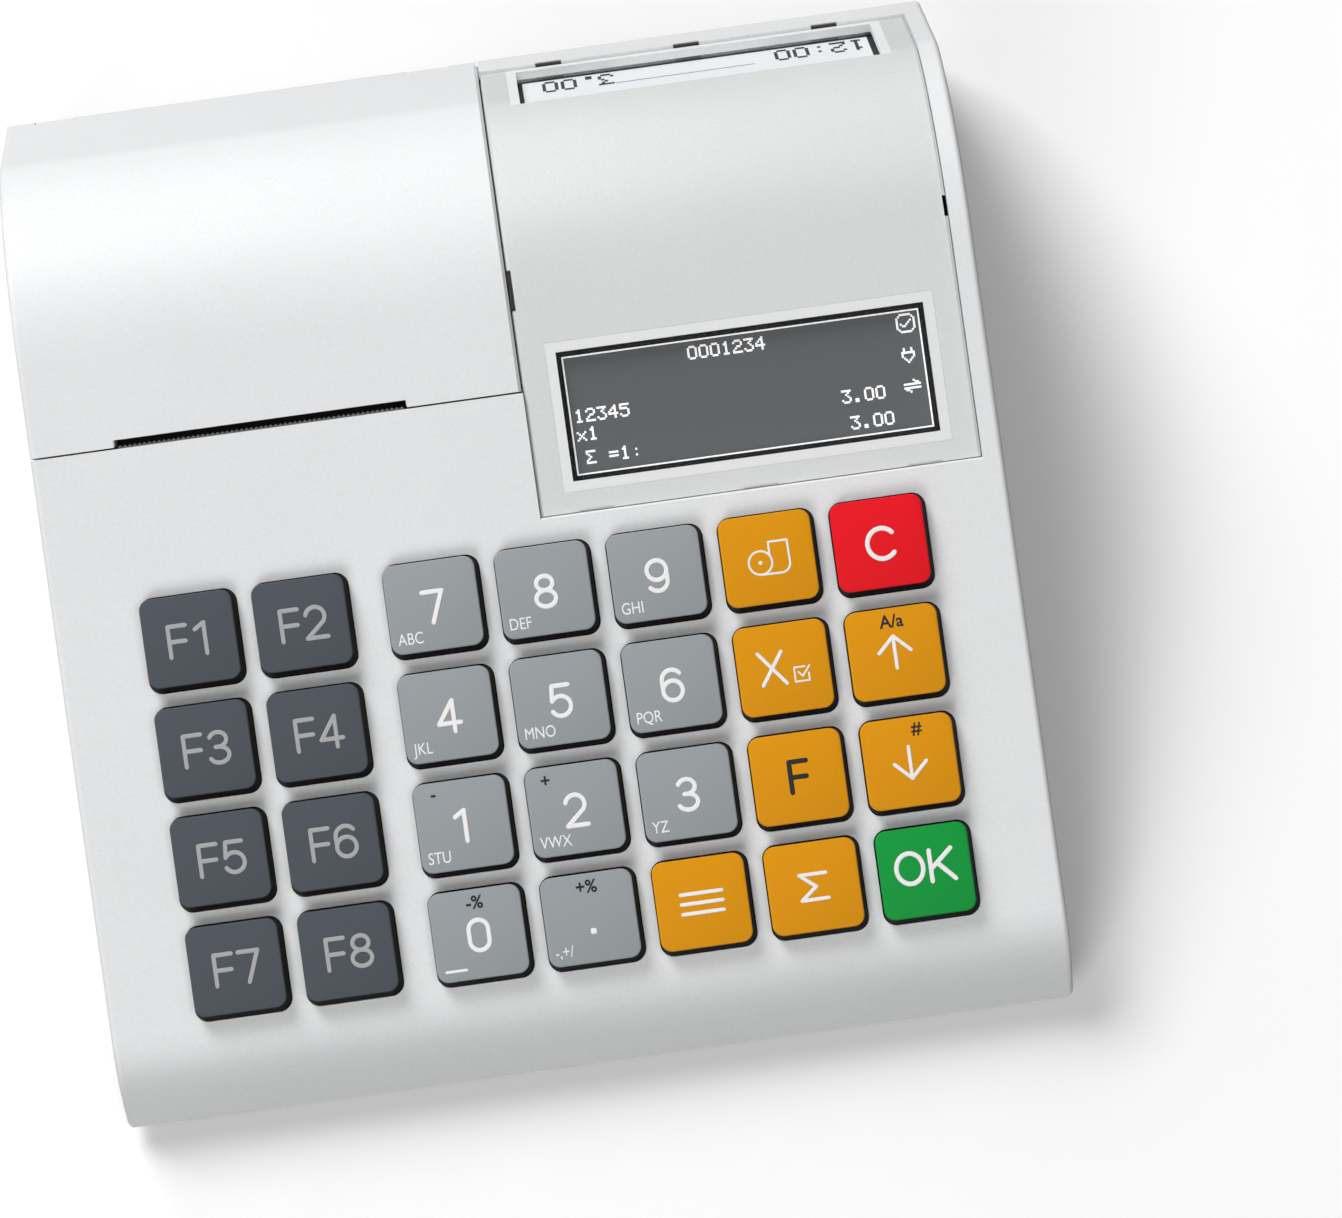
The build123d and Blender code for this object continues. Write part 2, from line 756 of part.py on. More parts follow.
with BuildPart() as display_cover:
    with BuildSketch(Plane.YZ.offset(display_left)):
        draw_skin(display_recess, case_wall)
        draw_bay(display_front + cover_gap, rear_strip + cover_gap)
    extrude(amount=display_width)
    add(display_block.part, mode=Mode.INTERSECT)
    for plane, outline in (
        (operator_plane, operator_outline),
        (customer_plane, customer_outline),
    ):
        # seats for the two ends of the display module
        with BuildSketch(plane.offset(-lcd_top)):
            Rectangle(lcd_length, lcd_height)
        extrude(amount=lcd_top - case_wall + slip)
        # pockets for module and lens, and the hole for the bezel
        with BuildSketch(plane.offset(-lcd_top)):
            Rectangle(lcd_length + 2 * slip, lcd_height + 2 * slip)
        extrude(amount=-lcd_thick, mode=Mode.SUBTRACT)
        with BuildSketch(plane.offset(-lcd_top)):
            Rectangle(lens_length + 2 * slip, lens_height + 2 * slip)
        extrude(amount=lens_thick, mode=Mode.SUBTRACT)
        with BuildSketch(plane.offset(-lens_top)):
            with Locations((0, outline[1])):
                Rectangle(bezel_length + 2 * bezel_slip, outline[0] + 2 * bezel_slip)
        extrude(amount=body_reach, mode=Mode.SUBTRACT)
    # snap windows in the two long edges
    with BuildSketch(deck_plane.offset(body_reach)):
        with Locations((display_left, side_latch_u)):
            Rectangle(2 * side_latch_depth, side_latch_length)
        with Locations((display_right, right_latch_u)):
            Rectangle(2 * side_latch_depth, right_latch_length)
    extrude(amount=-2 * body_reach, mode=Mode.SUBTRACT)
    # finger notches in the front edge
    with BuildSketch(deck_plane.offset(-display_recess)):
        with Locations((display_middle, display_front + cover_gap)):
            with GridLocations(notch_pitch, 1, 3, 1):
                Rectangle(notch_length, 2 * notch_depth)
    extrude(amount=-notch_depth, mode=Mode.SUBTRACT)
display_cover.part.label = "display_cover"
export_step(display_cover.part, "parts/display_cover.step")


def bezel_ring(plane, outline):
    """Frame that lines a window, flush with the cover."""
    with BuildPart() as ring:
        with BuildSketch(Plane.YZ.offset(display_middle - bezel_length / 2)):
            draw_skin(display_recess, case_wall)
        extrude(amount=bezel_length)
        with BuildSketch(plane.offset(body_reach / 2)):
            with Locations((0, outline[1])):
                Rectangle(bezel_length, outline[0])
            Rectangle(window_length, window_height, mode=Mode.SUBTRACT)
        extrude(amount=-body_reach / 2 - case_wall, mode=Mode.INTERSECT)
    return ring.part


operator_bezel = bezel_ring(operator_plane, operator_outline)
operator_bezel.label = "operator_bezel"
export_step(operator_bezel, "parts/operator_bezel.step")

customer_bezel = bezel_ring(customer_plane, customer_outline)
customer_bezel.label = "customer_bezel"
export_step(customer_bezel, "parts/customer_bezel.step")

with BuildPart() as display_lenses:
    for plane in (operator_plane, customer_plane):
        with BuildSketch(plane.offset(-lcd_top)):
            Rectangle(lens_length, lens_height)
        extrude(amount=lens_thick)
display_lenses.part.label = "display_lenses"
export_step(display_lenses.part, "parts/display_lenses.step")

with BuildPart() as operator_lcd:
    with BuildSketch(operator_plane.offset(-lcd_top)):
        Rectangle(lcd_length, lcd_height)
    extrude(amount=-lcd_thick)
operator_lcd.part.label = "operator_lcd"
export_step(operator_lcd.part, "parts/operator_lcd.step")

with BuildPart() as customer_lcd:
    with BuildSketch(customer_plane.offset(-lcd_top)):
        Rectangle(lcd_length, lcd_height)
    extrude(amount=-lcd_thick)
customer_lcd.part.label = "customer_lcd"
export_step(customer_lcd.part, "parts/customer_lcd.step")

# ================================ keys ================================

# Names by row, front row first, and by column, left to right.
key_names = [
    ["f7", "f8", "0", "dot", "menu", "total", "ok"],
    ["f5", "f6", "1", "2", "3", "function", "down"],
    ["f3", "f4", "4", "5", "6", "correction", "up"],
    ["f1", "f2", "7", "8", "9", "paper_feed", "clear"],
]


def key_cap(x, u):
    with BuildPart() as cap:
        with BuildSketch(deck_plane.offset(-key_below)):
            with Locations((x, u)):
                RectangleRounded(key_width, key_depth, key_corner)
        extrude(amount=key_below + key_shoulder)
        with BuildSketch(deck_plane.offset(key_shoulder)):
            with Locations((x, u)):
                RectangleRounded(key_width, key_depth, key_corner)
        with BuildSketch(deck_plane.offset(key_height)):
            with Locations((x + key_top_shift_x, u + key_top_shift_u)):
                RectangleRounded(key_top_width, key_top_depth, key_top_corner)
        loft()
        # flange that stops under the deck
        with BuildSketch(deck_plane.offset(-flange_bottom)):
            with Locations((x, u)):
                RectangleRounded(
                    key_width + 2 * key_flange, key_depth + 2 * key_flange, key_corner + key_flange
                )
        extrude(amount=key_flange_thick)
        # hollow, with the stem that pushes the dome
        with BuildSketch(deck_plane.offset(-key_below)):
            with Locations((x, u)):
                RectangleRounded(
                    key_width - 2 * key_wall, key_depth - 2 * key_wall, key_corner - key_wall
                )
        extrude(amount=key_below + key_height - key_top_wall, mode=Mode.SUBTRACT)
        with BuildSketch(deck_plane.offset(-stem_bottom)):
            with Locations((x, u)):
                Circle(stem_radius)
        extrude(amount=stem_bottom + key_height - key_top_wall)
    return cap.part


for row, u in enumerate(key_u):
    for column, x in enumerate(key_x):
        key = key_cap(x, u)
        key.label = "key_" + key_names[row][column]
        export_step(key, "parts/" + key.label + ".step")

# ================================ keyboard ================================

mat_left = field_left + key_flange - mat_margin
mat_right = field_right - key_flange + mat_margin
mat_front = field_front + key_flange - mat_margin
mat_rear = field_rear - key_flange + mat_margin
post_hole = post_radius + slip

with BuildPart() as keypad_mat:
    with BuildSketch(deck_plane.offset(-mat_bottom)):
        with Locations(((mat_left + mat_right) / 2, (mat_front + mat_rear) / 2)):
            Rectangle(mat_right - mat_left, mat_rear - mat_front)
        with Locations(*keyboard_posts):
            Circle(post_hole, mode=Mode.SUBTRACT)
    extrude(amount=mat_thick)
    for x in key_x:
        for u in key_u:
            with BuildSketch(deck_plane.offset(-mat_top)):
                with Locations((x, u)):
                    Circle(dome_radius)
            with BuildSketch(deck_plane.offset(dome_height - mat_top)):
                with Locations((x, u)):
                    Circle(dome_top_radius)
            loft()
keypad_mat.part.label = "keypad_mat"
export_step(keypad_mat.part, "parts/keypad_mat.step")

keyboard_left = field_left - keyboard_margin
keyboard_right = field_right + keyboard_margin
keyboard_front = field_front - mat_margin
keyboard_rear = field_rear + mat_margin

with BuildPart() as keyboard_board:
    with BuildSketch(deck_plane.offset(-board_bottom)):
        with Locations(
            ((keyboard_left + keyboard_right) / 2, (keyboard_front + keyboard_rear) / 2)
        ):
            Rectangle(keyboard_right - keyboard_left, keyboard_rear - keyboard_front)
        with Locations(*keyboard_posts):
            Circle(screw_radius + screw_slip, mode=Mode.SUBTRACT)
    extrude(amount=board_thick)
keyboard_board.part.label = "keyboard_board"
export_step(keyboard_board.part, "parts/keyboard_board.step")

# ================================ base tray ================================

tray_inset = case_wall + fit_gap
tray_half = right_x - tray_inset
board_posts = [
    (x, y)
    for x in (board_left + board_post_inset, board_right - board_post_inset)
    for y in (board_front + board_post_inset, board_rear - socket_depth - board_post_inset)
]
foot_spots = [
    (x, y)
    for x in (left_x + foot_inset_x, right_x - foot_inset_x)
    for y in (front_y + foot_inset_y, rear_y - foot_inset_y)
]
tray_front = deck_point(*fascia_foot)[0] + case_wall / cos(pi / 2 - slope - front_turn) + fit_gap
tray_rear = rear_y - tray_inset

with BuildPart() as base_tray:
    with BuildSketch(Plane.YZ.offset(-tray_half)):
        draw_side(tray_inset, body_reach)
        draw_area(
            [
                (front_y - body_reach, tray_top),
                (rear_y + body_reach, tray_top),
                (rear_y + body_reach, tray_wall_top),
                (front_y - body_reach, tray_wall_top),
            ],
            mode=Mode.INTERSECT,
        )
    extrude(amount=2 * tray_half)
    with BuildSketch(Plane.YZ.offset(tray_wall - tray_half)):
        draw_side(tray_inset + tray_wall, body_reach)
        draw_area(
            [
                (front_y - body_reach, tray_top),
                (rear_y + body_reach, tray_top),
                (rear_y + body_reach, tray_wall_top),
                (front_y - body_reach, tray_wall_top),
            ],
            mode=Mode.INTERSECT,
        )
    extrude(amount=2 * (tray_half - tray_wall), mode=Mode.SUBTRACT)
    with BuildSketch(Plane.XY.offset(tray_bottom)):
        with Locations((0, (tray_front + tray_rear) / 2)):
            Rectangle(2 * tray_half, tray_rear - tray_front)
    extrude(amount=tray_floor)
    # recesses for the feet
    with BuildSketch(Plane.XY.offset(tray_bottom)):
        with Locations(*foot_spots):
            Circle(foot_radius + slip)
    extrude(amount=foot_sunk, mode=Mode.SUBTRACT)
    # sunk holes for the case screws
    with BuildSketch(Plane.XY.offset(tray_bottom)):
        with Locations(*case_posts):
            Circle(screw_radius + screw_slip)
    extrude(amount=tray_floor, mode=Mode.SUBTRACT)
    with BuildSketch(Plane.XY.offset(tray_bottom)):
        with Locations(*case_posts):
            Circle(screw_head_radius + slip)
    extrude(amount=screw_head_thick, mode=Mode.SUBTRACT)
    # posts for the main board
    with BuildSketch(Plane.XY.offset(tray_top)):
        with Locations(*board_posts):
            Circle(board_post_radius)
    extrude(amount=board_lift)
    with BuildSketch(Plane.XY.offset(board_z)):
        with Locations(*board_posts):
            Circle(screw_radius + screw_slip)
    extrude(amount=-board_lift, mode=Mode.SUBTRACT)
base_tray.part.label = "base_tray"
export_step(base_tray.part, "parts/base_tray.step")

with BuildPart() as rubber_feet:
    with BuildSketch(Plane.XY):
        with Locations(*foot_spots):
            Circle(foot_radius)
    extrude(amount=foot_stand + foot_sunk)
    chamfer(rubber_feet.faces().sort_by(Axis.Z)[:4].edges(), length=foot_sunk)
rubber_feet.part.label = "rubber_feet"
export_step(rubber_feet.part, "parts/rubber_feet.step")

# Screws: each plane stands where the head meets its seat and looks the way the screw goes in.
screw_planes = [Plane(origin=(x, y, tray_bottom + screw_head_thick)) for x, y in case_posts]
screw_planes += [
    Plane(origin=deck_plane.from_local_coords(Vector(x, u, -board_bottom)), z_dir=deck_plane.z_dir)
    for x, u in keyboard_posts
]
screw_planes += [Plane(origin=(x, y, board_top), z_dir=(0, 0, -1)) for x, y in board_posts]

with BuildPart() as screws:
    for plane in screw_planes:
        with BuildSketch(plane):
            Circle(screw_head_radius)
        extrude(amount=-screw_head_thick)
        with BuildSketch(plane):
            Circle(screw_radius)
        extrude(amount=screw_length)
screws.part.label = "screws"
export_step(screws.part, "parts/screws.step")

# ================================ main board, sockets, sealed units ================================

with BuildPart() as main_board:
    with BuildSketch(Plane.XY.offset(board_z)):
        with Locations(((board_left + board_right) / 2, (board_front + board_rear) / 2)):
            Rectangle(board_width, main_board_depth)
        with Locations(*board_posts):
            Circle(screw_radius + screw_slip, mode=Mode.SUBTRACT)
    extrude(amount=board_thick)
    for across, along, width, depth in chips:
        with BuildSketch(Plane.XY.offset(board_top)):
            with Locations(
                (board_left + across * board_width, board_front + along * main_board_depth)
            ):
                Rectangle(width, depth)
        extrude(amount=chip_height)
main_board.part.label = "main_board"
export_step(main_board.part, "parts/main_board.step")

socket_face = rear_y - socket_back
socket_plane = Plane(origin=(0, socket_face, board_top), x_dir=(-1, 0, 0), z_dir=(0, 1, 0))


def socket_block(x, width, height, mouth_width, mouth_height, mouth_depth):
    """Block on the board's rear edge with a mouth in its rear face."""
    with BuildPart() as block:
        with BuildSketch(socket_plane):
            with Locations((-x, height / 2)):
                Rectangle(width, height)
        extrude(amount=-socket_depth)
        with BuildSketch(socket_plane):
            with Locations((-x, height / 2)):
                Rectangle(mouth_width, mouth_height)
        extrude(amount=-mouth_depth, mode=Mode.SUBTRACT)
    return block.part


with BuildPart() as rear_sockets:
    add(
        socket_block(
            socket_x[1], square_width, square_height, square_mouth, square_mouth, inlet_depth
        )
    )
    for x in socket_x[2:]:
        add(
            socket_block(
                x, jack_width, jack_height, jack_mouth_width, jack_mouth_height, jack_mouth_depth
            )
        )
rear_sockets.part.label = "rear_sockets"
export_step(rear_sockets.part, "parts/rear_sockets.step")

with BuildPart() as power_inlet:
    with BuildSketch(socket_plane):
        with Locations((-socket_x[0], inlet_height / 2)):
            Rectangle(inlet_width, inlet_height)
    extrude(amount=-socket_depth)
    with BuildSketch(socket_plane):
        with Locations((-socket_x[0], inlet_height / 2)):
            Circle(inlet_radius)
            Circle(inlet_pin_radius, mode=Mode.SUBTRACT)
    extrude(amount=-inlet_depth, mode=Mode.SUBTRACT)
power_inlet.part.label = "power_inlet"
export_step(power_inlet.part, "parts/power_inlet.step")

pack_y = front_y + pack_front + cell_radius
pack_z = tray_top + cell_radius + pack_wrap

with BuildPart() as battery_pack:
    with BuildSketch(Plane.YZ.offset(left_x + pack_left)):
        for y in (pack_y, pack_y + 2 * cell_radius):
            with Locations((y, pack_z)):
                Circle(cell_radius + pack_wrap)
        make_hull()
    extrude(amount=cell_length)
battery_pack.part.label = "battery_pack"
export_step(battery_pack.part, "parts/battery_pack.step")

with BuildPart() as fiscal_module:
    module_spot = (
        bay_left + module_space + module_width / 2,
        front_y + module_front + module_depth / 2,
    )
    with BuildSketch(Plane.XY.offset(tray_top)):
        with Locations(module_spot):
            RectangleRounded(module_width, module_depth, module_round)
    extrude(amount=module_height - module_lid)
    with BuildSketch(Plane.XY.offset(tray_top + module_height - module_lid)):
        with Locations(module_spot):
            RectangleRounded(
                module_width - 2 * module_lid_in, module_depth - 2 * module_lid_in, module_round
            )
    extrude(amount=module_lid)
fiscal_module.part.label = "fiscal_module"
export_step(fiscal_module.part, "parts/fiscal_module.step")

# ================================ paper ================================

roll_y, roll_z = deck_point(roll_u, -roll_depth)
bucket_radius = roll_radius + fit_gap
bucket_left = slot_middle - paper_width / 2 - bucket_end_gap

with BuildPart() as paper_roll:
    with BuildSketch(Plane.YZ.offset(slot_middle - paper_width / 2)):
        with Locations((roll_y, roll_z)):
            Circle(roll_radius)
            Circle(core_radius, mode=Mode.SUBTRACT)
    extrude(amount=paper_width)
paper_roll.part.label = "paper_roll"
export_step(paper_roll.part, "parts/paper_roll.step")


def draw_bucket(reach, mode=Mode.ADD):
    """Trough section: a half round with short straight lips."""
    with BuildSketch(mode=Mode.PRIVATE) as section:
        with Locations((roll_y, roll_z)):
            Circle(reach)
        draw_area(
            [
                (roll_y - reach, roll_z),
                (roll_y + reach, roll_z),
                (roll_y + reach, roll_z + bucket_rise),
                (roll_y - reach, roll_z + bucket_rise),
            ]
        )
        draw_area(
            [
                (roll_y - 2 * reach, roll_z - 2 * reach),
                (roll_y + 2 * reach, roll_z - 2 * reach),
                (roll_y + 2 * reach, roll_z + bucket_rise),
                (roll_y - 2 * reach, roll_z + bucket_rise),
            ],
            mode=Mode.INTERSECT,
        )
    add(section.sketch, mode=mode)


with BuildPart() as paper_bucket:
    with BuildSketch(Plane.YZ.offset(bucket_left - bucket_wall)):
        draw_bucket(bucket_radius + bucket_wall)
        # two legs down to the tray
        for side in (-1, 1):
            middle = roll_y + side * bucket_leg_spread
            draw_area(
                [
                    (middle - bucket_leg, tray_top),
                    (middle + bucket_leg, tray_top),
                    (middle + bucket_leg, roll_z - bucket_radius / 2),
                    (middle - bucket_leg, roll_z - bucket_radius / 2),
                ]
            )
    extrude(amount=paper_width + 2 * bucket_end_gap + 2 * bucket_wall)
    with BuildSketch(Plane.YZ.offset(bucket_left)):
        draw_bucket(bucket_radius)
        draw_area(
            [
                (roll_y - bucket_radius, roll_z),
                (roll_y + bucket_radius, roll_z),
                (roll_y + bucket_radius, roll_z + 2 * bucket_rise),
                (roll_y - bucket_radius, roll_z + 2 * bucket_rise),
            ]
        )
    extrude(amount=paper_width + 2 * bucket_end_gap, mode=Mode.SUBTRACT)
paper_bucket.part.label = "paper_bucket"
export_step(paper_bucket.part, "parts/paper_bucket.step")

# ================================ platen and gears ================================


def involute(angle):
    return tan(angle) - angle


def gear_points(teeth):
    """Outline of a spur gear with stub teeth, its first tooth along the first axis."""
    pitch_r = gear_module * teeth / 2
    base_r = pitch_r * cos(radians(gear_pressure))
    tip_r = pitch_r + gear_addendum * gear_module
    root_r = pitch_r - gear_dedendum * gear_module
    half_tooth = pi / (2 * teeth) - gear_backlash / (2 * pitch_r)
    start_r = max(base_r, root_r)
    flank = []
    for i in range(4):
        r = start_r + (tip_r - start_r) * i / 3
        half = half_tooth + involute(radians(gear_pressure)) - involute(acos(base_r / r))
        flank.append((r, half))
    if root_r < start_r:
        flank.insert(0, (root_r, flank[0][1]))
    points = []
    for tooth in range(teeth):
        middle = 2 * pi * tooth / teeth
        rising = [(r, middle - half) for r, half in flank]
        falling = [(r, middle + half) for r, half in reversed(flank)]
        points += [(r * cos(a), r * sin(a)) for r, a in rising + falling]
    return points


def mesh_phase(big_phase, big_teeth, direction, small_teeth):
    """Turn of a gear whose teeth fall in the gaps of the gear it touches, in radians."""
    big_r = gear_module * big_teeth / 2
    small_r = gear_module * small_teeth / 2
    return direction + pi - ((big_phase - direction) * big_r + pi * gear_module / 2) / small_r


def draw_gear(teeth, spot, phase, bore):
    """Toothed disc at a spot of the side view, with its bore."""
    turned_points = [
        (
            spot[0] + x * cos(phase) - y * sin(phase),
            spot[1] + x * sin(phase) + y * cos(phase),
        )
        for x, y in gear_points(teeth)
    ]
    draw_area(turned_points)
    with Locations(spot):
        Circle(bore, mode=Mode.SUBTRACT)


gear_left = arm_left - gear_gap - bush_flange_thick - gear_face
platen_r = gear_module * platen_teeth / 2
reduction_r = gear_module * reduction_teeth / 2
pinion_r = gear_module * pinion_teeth / 2
# The platen leaves the reduction gear straight along the line of their centres as the cover lifts.
hinge_reach = sqrt((platen_y - hinge_y) ** 2 + (platen_z - hinge_z) ** 2)
lift = ((platen_z - hinge_z) / hinge_reach, (hinge_y - platen_y) / hinge_reach)
reduction_spot = (
    platen_y - (platen_r + reduction_r) * lift[0],
    platen_z - (platen_r + reduction_r) * lift[1],
)
lift_angle = acos(lift[0])
pinion_angle = radians(pinion_direction)
pinion_spot = (
    reduction_spot[0] + (reduction_r + pinion_r) * cos(pinion_angle),
    reduction_spot[1] + (reduction_r + pinion_r) * sin(pinion_angle),
)

shaft_right = arm_right + arm_thick + bush_flange_thick + gear_gap

with BuildPart() as platen_shaft:
    with BuildSketch(Plane.YZ.offset(gear_left)):
        with Locations((platen_y, platen_z)):
            Circle(shaft_radius)
    extrude(amount=shaft_right - gear_left)
platen_shaft.part.label = "platen_shaft"
export_step(platen_shaft.part, "parts/platen_shaft.step")

with BuildPart() as platen_roller:
    with BuildSketch(Plane.YZ.offset(slot_middle - platen_length / 2)):
        with Locations((platen_y, platen_z)):
            Circle(platen_radius)
            Circle(shaft_radius, mode=Mode.SUBTRACT)
    extrude(amount=platen_length)
platen_roller.part.label = "platen_roller"
export_step(platen_roller.part, "parts/platen_roller.step")

with BuildPart() as platen_bushes:
    for x, outward in ((arm_left, -1), (arm_right, 1)):
        with BuildSketch(Plane.YZ.offset(x)):
            with Locations((platen_y, platen_z)):
                Circle(bush_radius)
                Circle(shaft_radius + running, mode=Mode.SUBTRACT)
        extrude(amount=arm_thick)
        flange_x = x - bush_flange_thick if outward < 0 else x + arm_thick
        with BuildSketch(Plane.YZ.offset(flange_x)):
            with Locations((platen_y, platen_z)):
                Circle(bush_flange)
                Circle(shaft_radius + running, mode=Mode.SUBTRACT)
        extrude(amount=bush_flange_thick)
platen_bushes.part.label = "platen_bushes"
export_step(platen_bushes.part, "parts/platen_bushes.step")

with BuildPart() as platen_gear:
    with BuildSketch(Plane.YZ.offset(gear_left)):
        draw_gear(
            platen_teeth,
            (platen_y, platen_z),
            mesh_phase(lift_angle, reduction_teeth, lift_angle, platen_teeth),
            shaft_radius,
        )
    extrude(amount=gear_face)
platen_gear.part.label = "platen_gear"
export_step(platen_gear.part, "parts/platen_gear.step")

cheek_left = arm_left + arm_thick - cheek_thick
hub_right = cheek_left - cheek_gap

with BuildPart() as reduction_gear:
    with BuildSketch(Plane.YZ.offset(gear_left)):
        draw_gear(reduction_teeth, reduction_spot, lift_angle, axle_radius + running)
    extrude(amount=gear_face)
    with BuildSketch(Plane.YZ.offset(gear_left + gear_face)):
        with Locations(reduction_spot):
            Circle(hub_radius)
            Circle(axle_radius + running, mode=Mode.SUBTRACT)
    extrude(amount=hub_right - gear_left - gear_face)
reduction_gear.part.label = "reduction_gear"
export_step(reduction_gear.part, "parts/reduction_gear.step")

motor_left = cheek_left + cheek_thick

with BuildPart() as motor_pinion:
    with BuildSketch(Plane.YZ.offset(gear_left)):
        draw_gear(
            pinion_teeth,
            pinion_spot,
            mesh_phase(lift_angle, reduction_teeth, pinion_angle, pinion_teeth),
            motor_shaft_radius / 2,
        )
    extrude(amount=gear_face)
    with BuildSketch(Plane.YZ.offset(gear_left)):
        with Locations(pinion_spot):
            Circle(motor_shaft_radius)
    extrude(amount=motor_left + motor_shaft_depth - gear_left)
motor_pinion.part.label = "motor_pinion"
export_step(motor_pinion.part, "parts/motor_pinion.step")

with BuildPart() as feed_motor:
    with BuildSketch(Plane.YZ.offset(motor_left)):
        with Locations(pinion_spot):
            Circle(motor_radius)
    extrude(amount=motor_length)
    with BuildSketch(Plane.YZ.offset(motor_left)):
        with Locations(pinion_spot):
            Circle(motor_shaft_radius + running)
    extrude(amount=motor_shaft_depth + fit_gap, mode=Mode.SUBTRACT)
feed_motor.part.label = "feed_motor"
export_step(feed_motor.part, "parts/feed_motor.step")

# ================================ printer frame and head ================================

head_u = platen_u - platen_radius - head_gap  # face of the head
head_length = platen_length - 2 * head_inset
spring_u = head_u - head_thick - spring_space  # beam face
right_cheek = arm_right
frame_front = pinion_spot[0] - motor_radius - cheek_margin
frame_rear = reduction_spot[0] + reduction_r + cheek_margin
cheek_top = reduction_spot[1] + axle_radius + 2 * cheek_margin
beam_top = head_top + cheek_margin

with BuildPart() as printer_frame:
    for x in (cheek_left, right_cheek):
        with BuildSketch(Plane.YZ.offset(x)):
            draw_area(
                [
                    (frame_front, tray_top),
                    (frame_rear, tray_top),
                    (frame_rear, cheek_top),
                    (frame_front, cheek_top),
                ]
            )
            draw_area(
                [
                    deck_point(spring_u - beam_thick, -beam_top),
                    deck_point(spring_u, -beam_top),
                    deck_point(spring_u, -beam_top - beam_height),
                    deck_point(spring_u - beam_thick, -beam_top - beam_height),
                ]
            )
        extrude(amount=cheek_thick)
    # floor and cross beam between the cheeks
    with BuildSketch(Plane.YZ.offset(cheek_left)):
        draw_area(
            [
                (frame_front, tray_top),
                (frame_rear, tray_top),
                (frame_rear, tray_top + frame_floor),
                (frame_front, tray_top + frame_floor),
            ]
        )
        draw_area(
            [
                deck_point(spring_u - beam_thick, -beam_top),
                deck_point(spring_u, -beam_top),
                deck_point(spring_u, -beam_top - beam_height),
                deck_point(spring_u - beam_thick, -beam_top - beam_height),
            ]
        )
    extrude(amount=right_cheek + cheek_thick - cheek_left)
    # axle of the reduction gear, and the hole for the motor shaft
    with BuildSketch(Plane.YZ.offset(gear_left)):
        with Locations(reduction_spot):
            Circle(axle_radius)
    extrude(amount=cheek_left - gear_left)
    with BuildSketch(Plane.YZ.offset(cheek_left)):
        with Locations(pinion_spot):
            Circle(pinion_r)
    extrude(amount=cheek_thick, mode=Mode.SUBTRACT)
printer_frame.part.label = "printer_frame"
export_step(printer_frame.part, "parts/printer_frame.step")

with BuildPart() as print_head:
    with BuildSketch(Plane.YZ.offset(slot_middle - head_length / 2)):
        draw_area(
            [
                deck_point(head_u, -head_top),
                deck_point(head_u, -head_top - head_height),
                deck_point(head_u - head_thick, -head_top - head_height),
                deck_point(head_u - head_thick, -head_top),
            ]
        )
    extrude(amount=head_length)
print_head.part.label = "print_head"
export_step(print_head.part, "parts/print_head.step")

spring_depth = beam_top + beam_height / 2
coil_height = spring_space - 2 * spring_wire
deck_back = (0, cos(slope), sin(slope))

# One coil spring, standing on its own origin.
with BuildPart() as spring:
    with BuildLine() as wire:
        Helix(pitch=coil_height / spring_turns, height=coil_height, radius=spring_radius)
    with BuildSketch(Plane(origin=wire.line @ 0, z_dir=wire.line % 0)):
        Circle(spring_wire)
    sweep(path=wire.line)

spring_places = [
    Plane(
        origin=deck_plane.from_local_coords(Vector(x, spring_u + spring_wire, -spring_depth)),
        x_dir=(1, 0, 0),
        z_dir=deck_back,
    ).location
    for x in (slot_middle - spring_spread, slot_middle + spring_spread)
]

with BuildPart() as head_springs:
    with Locations(*spring_places):
        add(spring.part)
head_springs.part.label = "head_springs"
export_step(head_springs.part, "parts/head_springs.step")

# Tear bar under the lip of the deck, its teeth in the slot.
tear_u = printer_seam - seam_gap / 2
tear_count = int((slot_length - tear_pitch) / tear_pitch)
tear_length = tear_count * tear_pitch
tear_left = slot_middle - tear_length / 2
tooth_root = tear_u + tear_reach - tear_tooth
tear_points = [(tear_left, tear_u - tear_seat), (tear_left, tooth_root)]
for i in range(tear_count):
    tear_points.append((tear_left + (i + 0.5) * tear_pitch, tear_u + tear_reach))
    tear_points.append((tear_left + (i + 1) * tear_pitch, tooth_root))
tear_points.append((tear_left + tear_length, tear_u - tear_seat))

with BuildPart() as tear_bar:
    with BuildSketch(deck_plane.offset(-case_wall)):
        draw_area(tear_points)
    extrude(amount=-tear_thick)
tear_bar.part.label = "tear_bar"
export_step(tear_bar.part, "parts/tear_bar.step")
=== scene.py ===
import json
import math
import bmesh
import bpy
from mathutils import Matrix, Vector


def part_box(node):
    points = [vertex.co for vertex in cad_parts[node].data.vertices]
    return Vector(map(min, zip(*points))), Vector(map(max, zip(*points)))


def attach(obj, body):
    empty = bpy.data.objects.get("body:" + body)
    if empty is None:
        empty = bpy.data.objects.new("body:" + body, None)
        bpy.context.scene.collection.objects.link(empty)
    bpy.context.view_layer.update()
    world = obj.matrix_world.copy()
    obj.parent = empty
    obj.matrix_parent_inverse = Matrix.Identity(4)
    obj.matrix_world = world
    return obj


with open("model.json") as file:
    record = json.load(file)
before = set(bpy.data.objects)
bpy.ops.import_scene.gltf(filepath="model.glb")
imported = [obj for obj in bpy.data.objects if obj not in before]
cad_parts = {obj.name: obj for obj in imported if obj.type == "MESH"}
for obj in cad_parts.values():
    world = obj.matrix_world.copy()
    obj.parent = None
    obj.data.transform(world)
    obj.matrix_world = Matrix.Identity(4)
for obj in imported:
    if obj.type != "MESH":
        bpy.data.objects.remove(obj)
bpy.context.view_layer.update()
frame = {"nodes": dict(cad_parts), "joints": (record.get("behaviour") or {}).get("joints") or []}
nodes = frame["nodes"]
mm = 0.001
